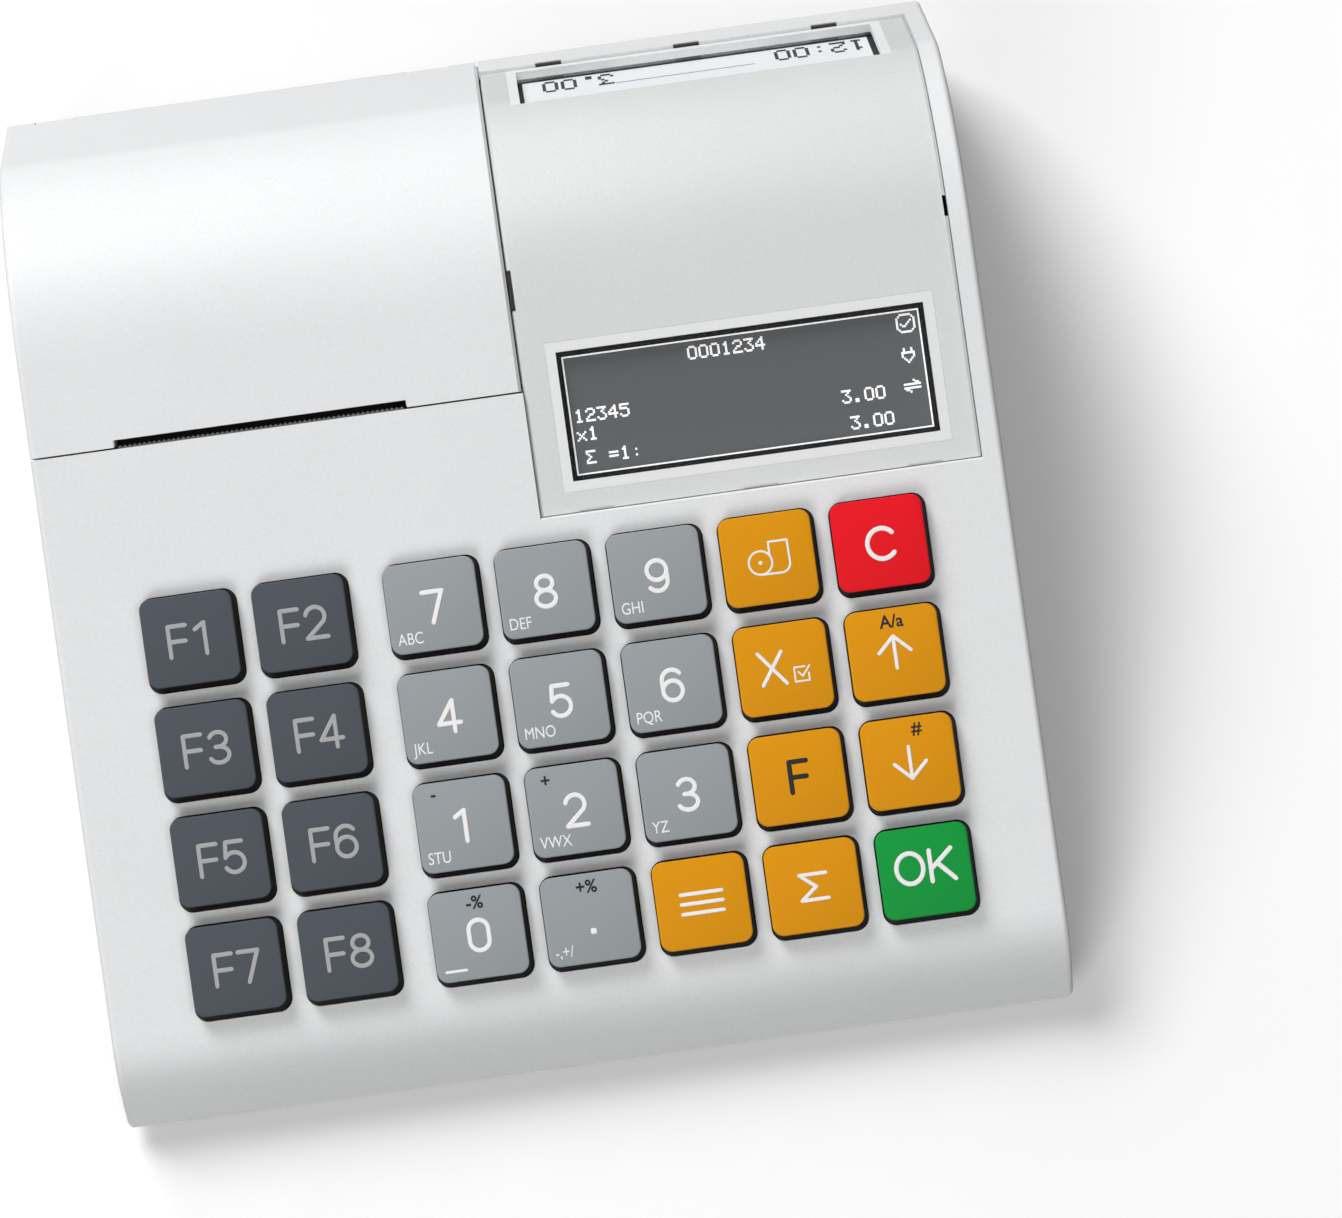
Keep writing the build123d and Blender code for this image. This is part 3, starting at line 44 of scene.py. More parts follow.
print("frame loaded:", len(nodes), "nodes")


# Places read from the frame
rimDepth = 0.02 * mm  # a face counts as flat this far below its highest point
joints = {joint["name"]: joint for joint in frame["joints"]}
deckNormal = -Vector(joints["key_5_press"]["axis"]).normalized()
deckBack = Vector((0, deckNormal.z, -deckNormal.y))
acrossAxis = Vector((1, 0, 0))


def faceSpan(node, normal, back):
    # centre, width and height of a node's outermost flat face along a normal
    points = [v.co.copy() for v in nodes[node].data.vertices]
    top = max(p.dot(normal) for p in points)
    rim = [p for p in points if p.dot(normal) > top - rimDepth]
    lowX, highX = min(p.x for p in rim), max(p.x for p in rim)
    lowU, highU = min(p.dot(back) for p in rim), max(p.dot(back) for p in rim)
    centre = acrossAxis * (lowX + highX) / 2 + back * (lowU + highU) / 2 + normal * top
    return centre, highX - lowX, highU - lowU


def placeOn(centre, normal, back):
    # turns a piece that is drawn flat on the XY plane onto a face of the register
    side = back.cross(normal)
    turn = Matrix((side, back, normal)).transposed().to_4x4()
    return Matrix.Translation(centre) @ turn


# Shader maths
class Wire:
    # one socket of a node tree, with arithmetic
    def __init__(self, tree, socket):
        self.tree = tree
        self.socket = socket

    def combine(self, operation, first, second):
        node = self.tree.nodes.new("ShaderNodeMath")
        node.operation = operation
        for place, value in enumerate((first, second)):
            if isinstance(value, Wire):
                self.tree.links.new(value.socket, node.inputs[place])
            else:
                node.inputs[place].default_value = value
        return Wire(self.tree, node.outputs[0])

    def __add__(self, other):
        return self.combine("ADD", self, other)

    def __radd__(self, other):
        return self.combine("ADD", other, self)

    def __sub__(self, other):
        return self.combine("SUBTRACT", self, other)

    def __rsub__(self, other):
        return self.combine("SUBTRACT", other, self)

    def __mul__(self, other):
        return self.combine("MULTIPLY", self, other)

    def __rmul__(self, other):
        return self.combine("MULTIPLY", other, self)

    def __gt__(self, other):
        return self.combine("GREATER_THAN", self, other)

    def __lt__(self, other):
        return self.combine("LESS_THAN", self, other)


def linear(red, green, blue):
    # a screen colour from 0 to 255 as the renderer's own colour
    def channel(value):
        share = value / 255
        return share / 12.92 if share <= 0.04045 else ((share + 0.055) / 1.055) ** 2.4

    return (channel(red), channel(green), channel(blue), 1.0)


def shade(colour, factor):
    return tuple(min(1.0, c * factor) for c in colour[:3]) + (1.0,)


class Finish:
    # a material on one Principled shader; constants go straight on its sockets
    def __init__(self, name, **constants):
        self.material = bpy.data.materials.new(name)
        self.material.use_nodes = True
        self.tree = self.material.node_tree
        self.shader = self.tree.nodes["Principled BSDF"]
        for socket, value in constants.items():
            self.shader.inputs[socket.replace("_", " ")].default_value = value

    def node(self, kind, settings=None, inputs=None, output=0):
        made = self.tree.nodes.new("ShaderNode" + kind)
        for key, value in (settings or {}).items():
            setattr(made, key, value)
        for key, value in (inputs or {}).items():
            if isinstance(value, Wire):
                self.tree.links.new(value.socket, made.inputs[key])
            else:
                made.inputs[key].default_value = value
        return Wire(self.tree, made.outputs[output])

    def place(self, scale=(1, 1, 1)):
        # object coordinates, stretched where a scale is given
        spot = self.node("TexCoord", output="Object")
        if tuple(scale) == (1, 1, 1):
            return spot
        return self.node("Mapping", {}, {"Vector": spot, "Scale": scale})

    def noise(self, scale, detail=2.0, stretch=(1, 1, 1)):
        inputs = {"Vector": self.place(stretch), "Scale": scale, "Detail": detail}
        return self.node("TexNoise", {}, inputs)

    def blend(self, factor, first, second):
        inputs = {"Factor": factor, 6: first, 7: second}
        return self.node("Mix", {"data_type": "RGBA"}, inputs, output=2)

    def send(self, socket, wire):
        self.tree.links.new(wire.socket, self.shader.inputs[socket])

    def tint(self, factor, colour, low, high):
        # base colour between two shades of one colour
        self.send("Base Color", self.blend(factor, shade(colour, low), shade(colour, high)))

    def bump(self, height, strength, distance):
        inputs = {"Height": height, "Strength": strength, "Distance": distance}
        self.send("Normal", self.node("Bump", {}, inputs))


# Finishes
plasticGrain = {
    "fine": 1900,
    "coarse": 900,
    "coarseShare": 0.6,
    "cloud": 28,
    "cloudShare": 0.3,
    "cloudRoughness": 0.08,
    "depth": 0.03 * mm,
}


def mouldedPlastic(name, colour, roughness=0.5, grain=0.35, speckle=0.03, gloss=0.45):
    # fine spark-eroded texture with a faint cloudiness, as on a moulded case
    finish = Finish(name, Specular_IOR_Level=gloss)
    fine = finish.noise(plasticGrain["fine"], 2.0)
    cloud = finish.noise(plasticGrain["cloud"], 3.0)
    mix = fine * (1 - plasticGrain["cloudShare"]) + cloud * plasticGrain["cloudShare"]
    finish.tint(mix, colour, 1 - speckle, 1 + speckle)
    uneven = plasticGrain["cloudRoughness"]
    finish.send("Roughness", cloud * uneven + (roughness - uneven / 2))
    coarse = finish.noise(plasticGrain["coarse"], 1.0)
    finish.bump(fine + coarse * plasticGrain["coarseShare"], grain, plasticGrain["depth"])
    return finish.material


inkGrain = {"fine": 5200, "low": 0.97, "high": 1.02, "uneven": 0.06}


def printInk(name, colour, roughness=0.55):
    finish = Finish(name, Specular_IOR_Level=0.35)
    grain = finish.noise(inkGrain["fine"], 1.0)
    finish.tint(grain, colour, inkGrain["low"], inkGrain["high"])
    finish.send("Roughness", grain * inkGrain["uneven"] + roughness)
    return finish.material


metalGrain = {
    "streaks": 220,
    "spangles": 260.0,
    "wear": 45,
    "wearShare": 0.4,
    "low": 0.8,
    "high": 1.1,
    "streakRoughness": 0.16,
    "wearRoughness": 0.1,
    "depth": 0.02 * mm,
}


def sheetMetal(name, colour, roughness=0.34, stretch=(1, 30, 30), spangle=0.0):
    # rolled or ground metal with streaks across the stretched axes
    finish = Finish(name, Metallic=1.0)
    streak = finish.noise(metalGrain["streaks"], 4.0, stretch)
    cells = {"Vector": finish.place(), "Scale": metalGrain["spangles"]}
    patch = finish.node("TexVoronoi", {}, cells)
    worn = finish.noise(metalGrain["wear"], 4.0)
    share = metalGrain["wearShare"]
    tone = streak * (1 - share) + worn * share + patch * spangle
    finish.tint(tone, colour, metalGrain["low"], metalGrain["high"])
    uneven = streak * metalGrain["streakRoughness"] + worn * metalGrain["wearRoughness"]
    finish.send("Roughness", uneven + (roughness - 0.1))
    finish.bump(streak, 0.15, metalGrain["depth"])
    return finish.material


rubberGrain = {"fine": 1900, "dust": 60, "low": 0.85, "high": 1.25, "depth": 0.03 * mm}


def softRubber(name, colour, roughness=0.72, grain=0.4):
    finish = Finish(name, Specular_IOR_Level=0.3, Sheen_Weight=0.15, Sheen_Roughness=0.6)
    fine = finish.noise(rubberGrain["fine"], 3.0)
    dust = finish.noise(rubberGrain["dust"], 4.0)
    finish.tint(dust, colour, rubberGrain["low"], rubberGrain["high"])
    finish.send("Roughness", fine * 0.1 + dust * 0.08 + (roughness - 0.08))
    finish.bump(fine, grain, rubberGrain["depth"])
    return finish.material


boardPattern = {
    "traces": 190.0,
    "bend": 9.0,
    "traceEdge": 0.72,
    "pads": 150.0,
    "padEdge": 0.012,
    "solder": linear(196, 190, 170),
    "chip": linear(26, 27, 28),
    "mainChips": 1.9 * mm,  # the chips start this far below the main board's top
    "keyChips": 1.0 * mm,  # and this far above the keyboard's
}


def circuitBoard(name, lacquer, chipStart, upwards):
    # solder mask over traces; everything past chipStart along upwards is a black chip
    finish = Finish(name, Coat_Weight=0.3, Coat_Roughness=0.2)
    spot = finish.place()
    bands = {"wave_type": "BANDS", "bands_direction": "X", "wave_profile": "SIN"}
    trace = finish.node(
        "TexWave",
        bands,
        {
            "Vector": spot,
            "Scale": boardPattern["traces"],
            "Distortion": boardPattern["bend"],
            "Detail": 1.0,
            "Detail Scale": 0.4,
        },
    )
    line = trace > boardPattern["traceEdge"]
    edges = {"feature": "DISTANCE_TO_EDGE"}
    pads = finish.node("TexVoronoi", edges, {"Vector": spot, "Scale": boardPattern["pads"]})
    mask = finish.blend(line, lacquer, shade(lacquer, 1.7))
    mask = finish.blend(pads < boardPattern["padEdge"], mask, boardPattern["solder"])
    dot = {"operation": "DOT_PRODUCT"}
    rise = finish.node("VectorMath", dot, {0: spot, 1: upwards}, output=1)
    chip = rise > chipStart
    finish.send("Base Color", finish.blend(chip, mask, boardPattern["chip"]))
    finish.send("Roughness", 0.32 + chip * 0.25)
    finish.bump(line * (1 - chip), 0.4, 0.05 * mm)
    return finish.material


paperGrain = {
    "rings": 4200.0,
    "fibres": 700,
    "fibreShare": 0.2,
    "between": linear(214, 212, 206),
    "sheet": linear(250, 250, 248),
    "depth": 0.04 * mm,
}


def paperLayers(name, centre):
    # wound paper: rings on the ends of the roll, a plain sheet round it
    finish = Finish(name, Roughness=0.85, Specular_IOR_Level=0.25)
    spot = finish.place()
    offset = finish.node("VectorMath", {"operation": "SUBTRACT"}, {0: spot, 1: centre})
    flat = finish.node("VectorMath", {"operation": "MULTIPLY"}, {0: offset, 1: (0, 1, 1)})
    radius = finish.node("VectorMath", {"operation": "LENGTH"}, {0: flat}, output=1)
    along = finish.node("CombineXYZ", {}, {"X": radius})
    layers = {"Vector": along, "Scale": paperGrain["rings"], "Detail": 4.0}
    ring = finish.node("TexNoise", {}, layers)
    fibre = finish.noise(paperGrain["fibres"], 3.0)
    share = paperGrain["fibreShare"]
    tone = ring * (1 - share) + fibre * share
    finish.send("Base Color", finish.blend(tone, paperGrain["between"], paperGrain["sheet"]))
    finish.bump(ring + fibre * share, 0.3, paperGrain["depth"])
    return finish.material


def clearLens(name):
    # a faintly grey window
    finish = Finish(name, Base_Color=linear(60, 62, 64), Alpha=0.06, Specular_IOR_Level=0.35)
    haze = finish.noise(30, 2.0)
    finish.send("Roughness", haze * 0.05 + 0.04)
    return finish.material


lcdGrain = {"pixels": 3200.0, "pixelShare": 0.4, "cloud": 30, "cloudShare": 0.3}


def litScreen(name, colour, glow, roughness=0.35):
    # liquid-crystal panel: an even tone with a faint pixel grid
    finish = Finish(name, Specular_IOR_Level=0.2, Emission_Strength=glow)
    grid = {"Vector": finish.place(), "Scale": lcdGrain["pixels"], "Randomness": 0.0}
    cells = finish.node("TexVoronoi", {}, grid)
    uneven = finish.noise(lcdGrain["cloud"], 2.0)
    mix = cells * lcdGrain["pixelShare"] + uneven * lcdGrain["cloudShare"]
    tone = finish.blend(mix, shade(colour, 1.04), shade(colour, 0.95))
    finish.send("Base Color", tone)
    finish.send("Emission Color", tone)
    finish.send("Roughness", uneven * 0.1 + (roughness - 0.05))
    return finish.material


sleeveGrain = {"wrinkles": 160, "stretch": (0.3, 1, 1), "depth": 0.1 * mm}


def shrinkSleeve(name, colour):
    # heat-shrunk film round the cells, with wrinkles along it
    finish = Finish(name, Coat_Weight=0.5, Coat_Roughness=0.12)
    wrinkle = finish.noise(sleeveGrain["wrinkles"], 4.0, sleeveGrain["stretch"])
    finish.tint(wrinkle, colour, 0.85, 1.15)
    finish.send("Roughness", wrinkle * 0.2 + 0.25)
    finish.bump(wrinkle, 0.4, sleeveGrain["depth"])
    return finish.material


# Only the outer shells are seen with the covers shut; the rest shows when the printer is open.
whites = {
    "case": linear(237, 238, 239),
    "cover": linear(219, 221, 221),
    "bezel": linear(240, 241, 241),
}
keyTones = {
    "slate": linear(82, 87, 95),
    "grey": linear(159, 165, 168),
    "amber": linear(231, 154, 6),
    "red": linear(243, 18, 34),
    "green": linear(16, 158, 64),
}
rollCentre = Vector(joints["roll_spin"]["pos_m"])
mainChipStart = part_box("main_board")[1].z - boardPattern["mainChips"]
keyBoardTop = max(v.co.dot(deckNormal) for v in nodes["keyboard_board"].data.vertices)
keyChipStart = keyBoardTop + boardPattern["keyChips"]

finishes = {
    "casePlastic": mouldedPlastic("casePlastic", whites["case"], 0.44, 1.0, 0.1, gloss=0.52),
    "coverPlastic": mouldedPlastic("coverPlastic", whites["cover"], 0.42, 1.0, 0.1, gloss=1.0),
    "bezelPlastic": mouldedPlastic("bezelPlastic", whites["bezel"]),
    "trayPlastic": mouldedPlastic("trayPlastic", linear(196, 198, 199), 0.6, speckle=0.05),
    "darkPlastic": mouldedPlastic("darkPlastic", linear(34, 35, 37), 0.55, speckle=0.15),
    "keyBlack": mouldedPlastic("keyBlack", linear(7, 8, 9), 0.6, 0.3, 0.15, gloss=0.1),
    "footRubber": softRubber("footRubber", linear(38, 38, 39)),
    "silicone": softRubber("silicone", linear(196, 199, 196), roughness=0.5, grain=0.2),
    "platenRubber": softRubber("platenRubber", linear(30, 30, 31), roughness=0.62),
    "keyboardBoard": circuitBoard(
        "keyboardBoard", linear(28, 96, 58), keyChipStart, deckNormal
    ),
    "mainBoard": circuitBoard("mainBoard", linear(24, 88, 54), mainChipStart, (0, 0, 1)),
    "frameSteel": sheetMetal("frameSteel", linear(186, 189, 191), 0.36, (1, 1, 1), spangle=0.4),
    "headMetal": sheetMetal("headMetal", linear(190, 193, 196), 0.3, (1, 40, 40)),
    "springSteel": sheetMetal("springSteel", linear(160, 161, 163), 0.3, (1, 1, 1)),
    "shaftSteel": sheetMetal("shaftSteel", linear(200, 201, 203), 0.22, (60, 1, 1)),
    "screwSteel": sheetMetal("screwSteel", linear(182, 184, 187), 0.3, (1, 1, 1)),
    "bladeSteel": sheetMetal("bladeSteel", linear(122, 124, 127), 0.42, (1, 20, 20)),
    "motorSteel": sheetMetal("motorSteel", linear(170, 172, 174), 0.3, (20, 1, 1)),
    "pinionBrass": sheetMetal("pinionBrass", linear(206, 170, 98), 0.3, (1, 1, 1)),
    "gearPlastic": mouldedPlastic("gearPlastic", linear(226, 223, 212), roughness=0.45),
    "bushPlastic": mouldedPlastic("bushPlastic", linear(220, 220, 206), roughness=0.45),
    "paper": paperLayers("paper", rollCentre),
    "lens": clearLens("lens"),
    "screenFrame": litScreen("screenFrame", linear(46, 50, 52), 0.0),
    "cellWrap": shrinkSleeve("cellWrap", linear(40, 92, 160)),
    "screenDark": litScreen("screenDark", linear(88, 90, 92), 0.3, roughness=0.6),
    "screenPale": litScreen("screenPale", linear(232, 236, 238), 0.2),
    "pixelWhite": litScreen("pixelWhite", linear(250, 250, 250), 0.4),
    "pixelDark": litScreen("pixelDark", linear(44, 47, 50), 0.0),
    "inkWhite": printInk("inkWhite", linear(253, 253, 252)),
    "inkBlack": printInk("inkBlack", linear(22, 23, 25)),
    "inkGrey": printInk("inkGrey", linear(176, 177, 178)),
}
for tone, colour in keyTones.items():
    name = "key" + tone.capitalize()
    finishes[tone] = mouldedPlastic(name, colour, 0.58, 0.25, 0.04, gloss=0.15)

nodeFinish = {
    "top_case": "casePlastic",
    "printer_cover": "casePlastic",
    "display_cover": "coverPlastic",
    "operator_bezel": "bezelPlastic",
    "customer_bezel": "bezelPlastic",
    "display_lenses": "lens",
    "operator_lcd": "screenFrame",
    "customer_lcd": "screenFrame",
    "base_tray": "trayPlastic",
    "rubber_feet": "footRubber",
    "keypad_mat": "silicone",
    "keyboard_board": "keyboardBoard",
    "main_board": "mainBoard",
    "paper_bucket": "darkPlastic",
    "printer_frame": "frameSteel",
    "print_head": "headMetal",
    "head_springs": "springSteel",
    "platen_roller": "platenRubber",
    "platen_shaft": "shaftSteel",
    "platen_bushes": "bushPlastic",
    "platen_gear": "gearPlastic",
    "reduction_gear": "gearPlastic",
    "motor_pinion": "pinionBrass",
    "feed_motor": "motorSteel",
    "tear_bar": "bladeSteel",
    "hinge_pins": "shaftSteel",
    "paper_roll": "paper",
    "battery_pack": "cellWrap",
    "fiscal_module": "darkPlastic",
    "rear_sockets": "darkPlastic",
    "power_inlet": "darkPlastic",
    "screws": "screwSteel",
}
for name, node in nodes.items():  # a node that isn't listed is a key
    node.data.materials.clear()
    node.data.materials.append(finishes[nodeFinish.get(name, "keyBlack")])
print("finishes made:", len(finishes))


# Modelling helpers
hair = 1e-7  # metres within which two places count as one
plateRounding = {"corner": 8, "rim": 3, "smooth": 35}  # bevel segments, and degrees
penShape = {
    "flat": 0.05,  # height of a stroke as a share of its width
    "lift": 40,  # the pen lifts where a line turns by more degrees than this
    "ends": (30, 60, 82),  # degrees round a stroke's rounded end
    "bowStep": 11,  # degrees from point to point on a bow
}


def deselectAll():
    if bpy.context.object and bpy.context.object.mode != "OBJECT":
        bpy.ops.object.mode_set(mode="OBJECT")
    bpy.ops.object.select_all(action="DESELECT")


def activate(piece):
    deselectAll()
    piece.select_set(True)
    bpy.context.view_layer.objects.active = piece


def pickEdges(piece, test):
    # leaves the piece in edit mode with the edges that pass the test selected
    activate(piece)
    bpy.ops.object.mode_set(mode="EDIT")
    bpy.ops.mesh.select_all(action="DESELECT")
    bpy.ops.mesh.select_mode(type="EDGE")
    mesh = bmesh.from_edit_mesh(piece.data)
    for edge in mesh.edges:
        edge.select_set(test(edge.verts[0].co, edge.verts[1].co))
    bmesh.update_edit_mesh(piece.data)


def settle(piece, place, name, body, finish, slotName=None):
    # puts a flat-drawn mesh in its place, with the object left at the origin
    activate(piece)
    piece.name = name
    piece.data.name = name
    piece.data.transform(place @ piece.matrix_basis)
    piece.matrix_basis = Matrix.Identity(4)
    piece.data.materials.clear()
    piece.data.materials.append(finishes[finish])
    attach(piece, body)


def roundedPlate(width, height, thick, corner, edge):
    # a block with rounded corners and a softened top rim, its top at z = 0
    deselectAll()
    bpy.ops.mesh.primitive_cube_add(size=1, location=(0, 0, 0))
    plate = bpy.context.object
    plate.data.transform(Matrix.Diagonal((width, height, thick, 1)))
    plate.data.transform(Matrix.Translation((0, 0, -thick / 2)))
    pickEdges(plate, lambda a, b: abs(a.x - b.x) < hair and abs(a.y - b.y) < hair)
    bpy.ops.mesh.bevel(offset=corner, segments=plateRounding["corner"], affect="EDGES")
    pickEdges(plate, lambda a, b: a.z > -hair and b.z > -hair)
    bpy.ops.mesh.bevel(offset=edge, segments=plateRounding["rim"], affect="EDGES")
    bpy.ops.object.mode_set(mode="OBJECT")
    bpy.ops.object.shade_smooth_by_angle(angle=math.radians(plateRounding["smooth"]))
    return plate


def copied(piece):
    # a copy with its own mesh
    copy = piece.copy()
    copy.data = piece.data.copy()
    bpy.context.scene.collection.objects.link(copy)
    return copy


def measureFlat(piece):
    xs = [v.co.x for v in piece.data.vertices]
    ys = [v.co.y for v in piece.data.vertices]
    return min(xs), max(xs), min(ys), max(ys)


font = {
    "capital": 0.729,  # height of a capital when the font's size is 1
    "resolution": 5,
}


def printedText(text, height, spot, bold=0.0, squeeze=1.0, centred=False):
    # lettering as a flat mesh with capitals of the given height; spot is the left end of the
    # line it stands on, or the middle of the lettering when centred
    deselectAll()
    bpy.ops.object.text_add(location=(0, 0, 0))
    piece = bpy.context.object
    piece.data.body = text
    piece.data.size = 1.0
    piece.data.offset = bold
    piece.data.resolution_u = font["resolution"]
    bpy.ops.object.convert(target="MESH")
    piece = bpy.context.object
    left, right, low, high = measureFlat(piece)
    size = height / font["capital"]
    shift = (-(left + right) / 2, -(low + high) / 2, 0) if centred else (-left, 0, 0)
    piece.data.transform(Matrix.Translation(shift))
    piece.data.transform(Matrix.Diagonal((size * squeeze, size, 1, 1)))
    piece.data.transform(Matrix.Translation((spot[0], spot[1], 0)))
    return piece


def penStrokes(line):
    # the pen lifts at each sharp corner, so that a stroke keeps its width there
    if line[0] == line[-1]:
        return [line]
    parts, part = [], [line[0]]
    for before, here, after in zip(line, line[1:], line[2:]):
        part.append(here)
        arriving, leaving = Vector(here) - Vector(before), Vector(after) - Vector(here)
        if arriving.angle(leaving) > math.radians(penShape["lift"]):
            parts.append(part)
            part = [here]
    return parts + [part + [line[-1]]]


def roundEnds(points, width):
    # the pen narrows over a half circle at both ends of a stroke
    start = (points[0] - points[1]).normalized() * width / 2
    end = (points[-1] - points[-2]).normalized() * width / 2
    turns = [math.radians(a) for a in penShape["ends"]]
    head = [points[0] + start * math.sin(a) for a in reversed(turns)]
    tail = [points[-1] + end * math.sin(a) for a in turns]
    taper = [math.cos(a) for a in turns]
    return head + points + tail, taper[::-1] + [1.0] * len(points) + taper


def strokeMark(lines, width):
    # drawn marks: each line is a list of points, swept with a flat round-ended pen
    curve = bpy.data.curves.new("mark", "CURVE")
    curve.dimensions = "3D"
    curve.bevel_depth = width / 2
    curve.bevel_resolution = 2
    for line in [part for whole in lines for part in penStrokes(whole)]:
        ring = line[0] == line[-1]
        points = [Vector((x, y, 0)) for x, y in (line[:-1] if ring else line)]
        radii = [1.0] * len(points)
        if not ring:
            points, radii = roundEnds(points, width)
        spline = curve.splines.new("POLY")
        spline.points.add(len(points) - 1)
        for target, point, radius in zip(spline.points, points, radii):
            target.co = (*point, 1)
            target.radius = radius
        spline.use_cyclic_u = ring
    piece = bpy.data.objects.new("mark", curve)
    bpy.context.scene.collection.objects.link(piece)
    activate(piece)
    bpy.ops.object.convert(target="MESH")
    piece = bpy.context.object
    piece.data.transform(Matrix.Diagonal((1, 1, penShape["flat"], 1)))
    return piece


def bow(x, y, wide, high, start, stop):
    # part of an ellipse as a row of points
    steps = max(5, round(abs(stop - start) / penShape["bowStep"]))
    turn = [math.radians(start + (stop - start) * i / steps) for i in range(steps + 1)]
    return [(x + wide * math.cos(a), y + high * math.sin(a)) for a in turn]


def closed(points):
    return points + [points[0]]


def joinPieces(parts):
    deselectAll()
    for part in parts:
        part.select_set(True)
    bpy.context.view_layer.objects.active = parts[0]
    bpy.ops.object.join()
    return bpy.context.object


# Keys
keyFace = {
    "overhang": 0.16 * mm,
    "proud": 0.15 * mm,
    "sunk": 0.5 * mm,
    "corner": 2.3 * mm,
    "edge": 0.3 * mm,
}
printing = {
    "rise": 0.02 * mm,
    "pen": 1.0 * mm,
    "functionPen": 0.95 * mm,
    "signPen": 0.8 * mm,
    "finePen": 0.46 * mm,
    "tickPen": 0.391 * mm,
    "barPen": 0.598 * mm,
    "digitSpot": (0.1, -0.3),
    "functionSpots": [(-2.4, -0.1), (2.85, -0.1)],
    "letter": 2.5 * mm,
    "letterSqueeze": 0.8,
    "lettersX": -8.0 * mm,
    "lettersY": -7.3 * mm,
    "small": 2.7 * mm,
    "smallBold": 0.02,
    "smallSqueeze": 0.95,
    "topY": 6.5 * mm,
    "bar": [(-7.5, -7.0), (-3.4, -7.0)],
}
point = {
    "side": 1.2 * mm,
    "thick": 0.02 * mm,
    "corner": 0.35 * mm,
    "edge": 0.005 * mm,
    "spot": (0.3 * mm, -2.7 * mm, 0),
}
keysByTone = {
    "slate": ["f1", "f2", "f3", "f4", "f5", "f6", "f7", "f8"],
    "grey": ["0", "1", "2", "3", "4", "5", "6", "7", "8", "9", "dot"],
    "red": ["clear"],
    "green": ["ok"],
    "amber": ["paper_feed", "correction", "function", "menu", "total", "up", "down"],
}
letterGroups = {
    "7": "ABC",
    "8": "DEF",
    "9": "GHI",
    "4": "JKL",
    "5": "MNO",
    "6": "PQR",
    "1": "STU",
    "2": "VWX",
    "3": "YZ",
    "dot": "-,+/",
}
smallMarks = {
    "0": ("-%", 0.0),
    "dot": ("+%", 0.0),
    "1": ("-", -5.3),
    "2": ("+", -5.3),
    "up": ("A/a", 0.0),
    "down": ("#", 2.1),
}

# Pen strokes of the large characters, in millimetres round the middle of each.
tall = 3.12
strokes = {
    "0": [closed(bow(0, 1.12, 2.0, 2.0, 0, 180) + bow(0, -1.12, 2.0, 2.0, 180, 360))],
    "1": [[(-1.55, 1.95), (0.35, tall), (0.35, -tall)]],
    "2": [bow(0, 1.2, 1.95, 1.92, 165, -38) + [(-2.0, -tall), (2.15, -tall)]],
    "3": [
        bow(-0.05, 1.62, 1.75, 1.5, 155, -90),
        [(-0.6, 0.12)] + bow(-0.05, -1.5, 2.0, 1.62, 90, -155),
    ],
    "4": [[(1.0, -tall), (1.0, tall), (-2.1, -1.45), (2.25, -1.45)]],
    "5": [
        [(1.75, tall), (-1.45, tall), (-1.75, 0.15)]
        + bow(-0.05, -1.1, 2.05, 2.02, 145, -150),
    ],
    "6": [
        bow(0.05, 1.12, 2.05, 2.0, 38, 180) + [(-2.0, -0.2)],
        closed(bow(0, -1.12, 2.0, 2.0, 0, 350)),
    ],
    "7": [[(-2.0, tall), (2.0, tall), (-0.35, -tall)]],
    "8": [
        closed(bow(0, 1.66, 1.65, 1.46, 0, 350)),
        closed(bow(0, -1.46, 2.0, 1.66, 0, 350)),
    ],
    "9": [
        bow(-0.05, -1.12, 2.05, 2.0, 218, 360) + [(2.0, 0.2)],
        closed(bow(0, 1.12, 2.0, 2.0, 0, 350)),
    ],
    "C": [bow(0.3, 0, 3.0, tall, 42, 318)],
    "F": [[(-1.75, -tall), (-1.75, tall), (1.75, tall)], [(-1.75, -0.05), (1.5, -0.05)]],
    "O": [closed(bow(0, 0, 2.75, tall, 0, 350))],
    "K": [
        [(-2.1, tall), (-2.1, -tall)],
        [(2.3, tall), (-2.1, -0.7)],
        [(-0.75, 0.5), (2.65, -tall)],
    ],
}


def penned(characters, width):
    # each character comes with the place of its middle
    lines = []
    for character, x, y in characters:
        for stroke in strokes[character]:
            lines.append([((x + px) * mm, (y + py) * mm) for px, py in stroke])
    return strokeMark(lines, width)


def scaled(lines):
    return [[(x * mm, y * mm) for x, y in line] for line in lines]


def arrowMark(direction):
    head = [(-3.25, 0.2 * direction), (0, 3.35 * direction), (3.25, 0.2 * direction)]
    shaft = [(0, -3.1 * direction), (0, 3.2 * direction)]
    return strokeMark(scaled([shaft, head]), printing["signPen"])


def paperFeedMark():
    roll = closed(bow(-1.7, -0.65, 2.4, 2.4, 0, 350))
    core = closed(bow(-1.7, -0.65, 0.2, 0.2, 0, 300))
    sheet = [(0.35, 0.7), (0.35, 3.4), (4.2, 3.4), (4.3, -1.2)]
    hem = bow(2.4, -1.3, 1.9, 1.85, 0, -90) + [(-1.7, -3.08)]
    return strokeMark(scaled([roll, core, sheet + hem]), printing["finePen"])


def correctionMark():
    cross = [[(-4.9, 3.5), (0.3, -3.1)], [(-0.1, 3.4), (-4.5, -3.0)]]
    box = [[(4.3, -0.2), (2.1, -0.2), (2.1, -3.1), (5.0, -3.1), (5.0, -1.6)]]
    tick = [[(2.9, -1.2), (3.7, -2.1), (5.3, -0.1)]]
    big = strokeMark(scaled(cross), printing["signPen"])
    small = strokeMark(scaled(box + tick), printing["tickPen"])
    return joinPieces([big, small])


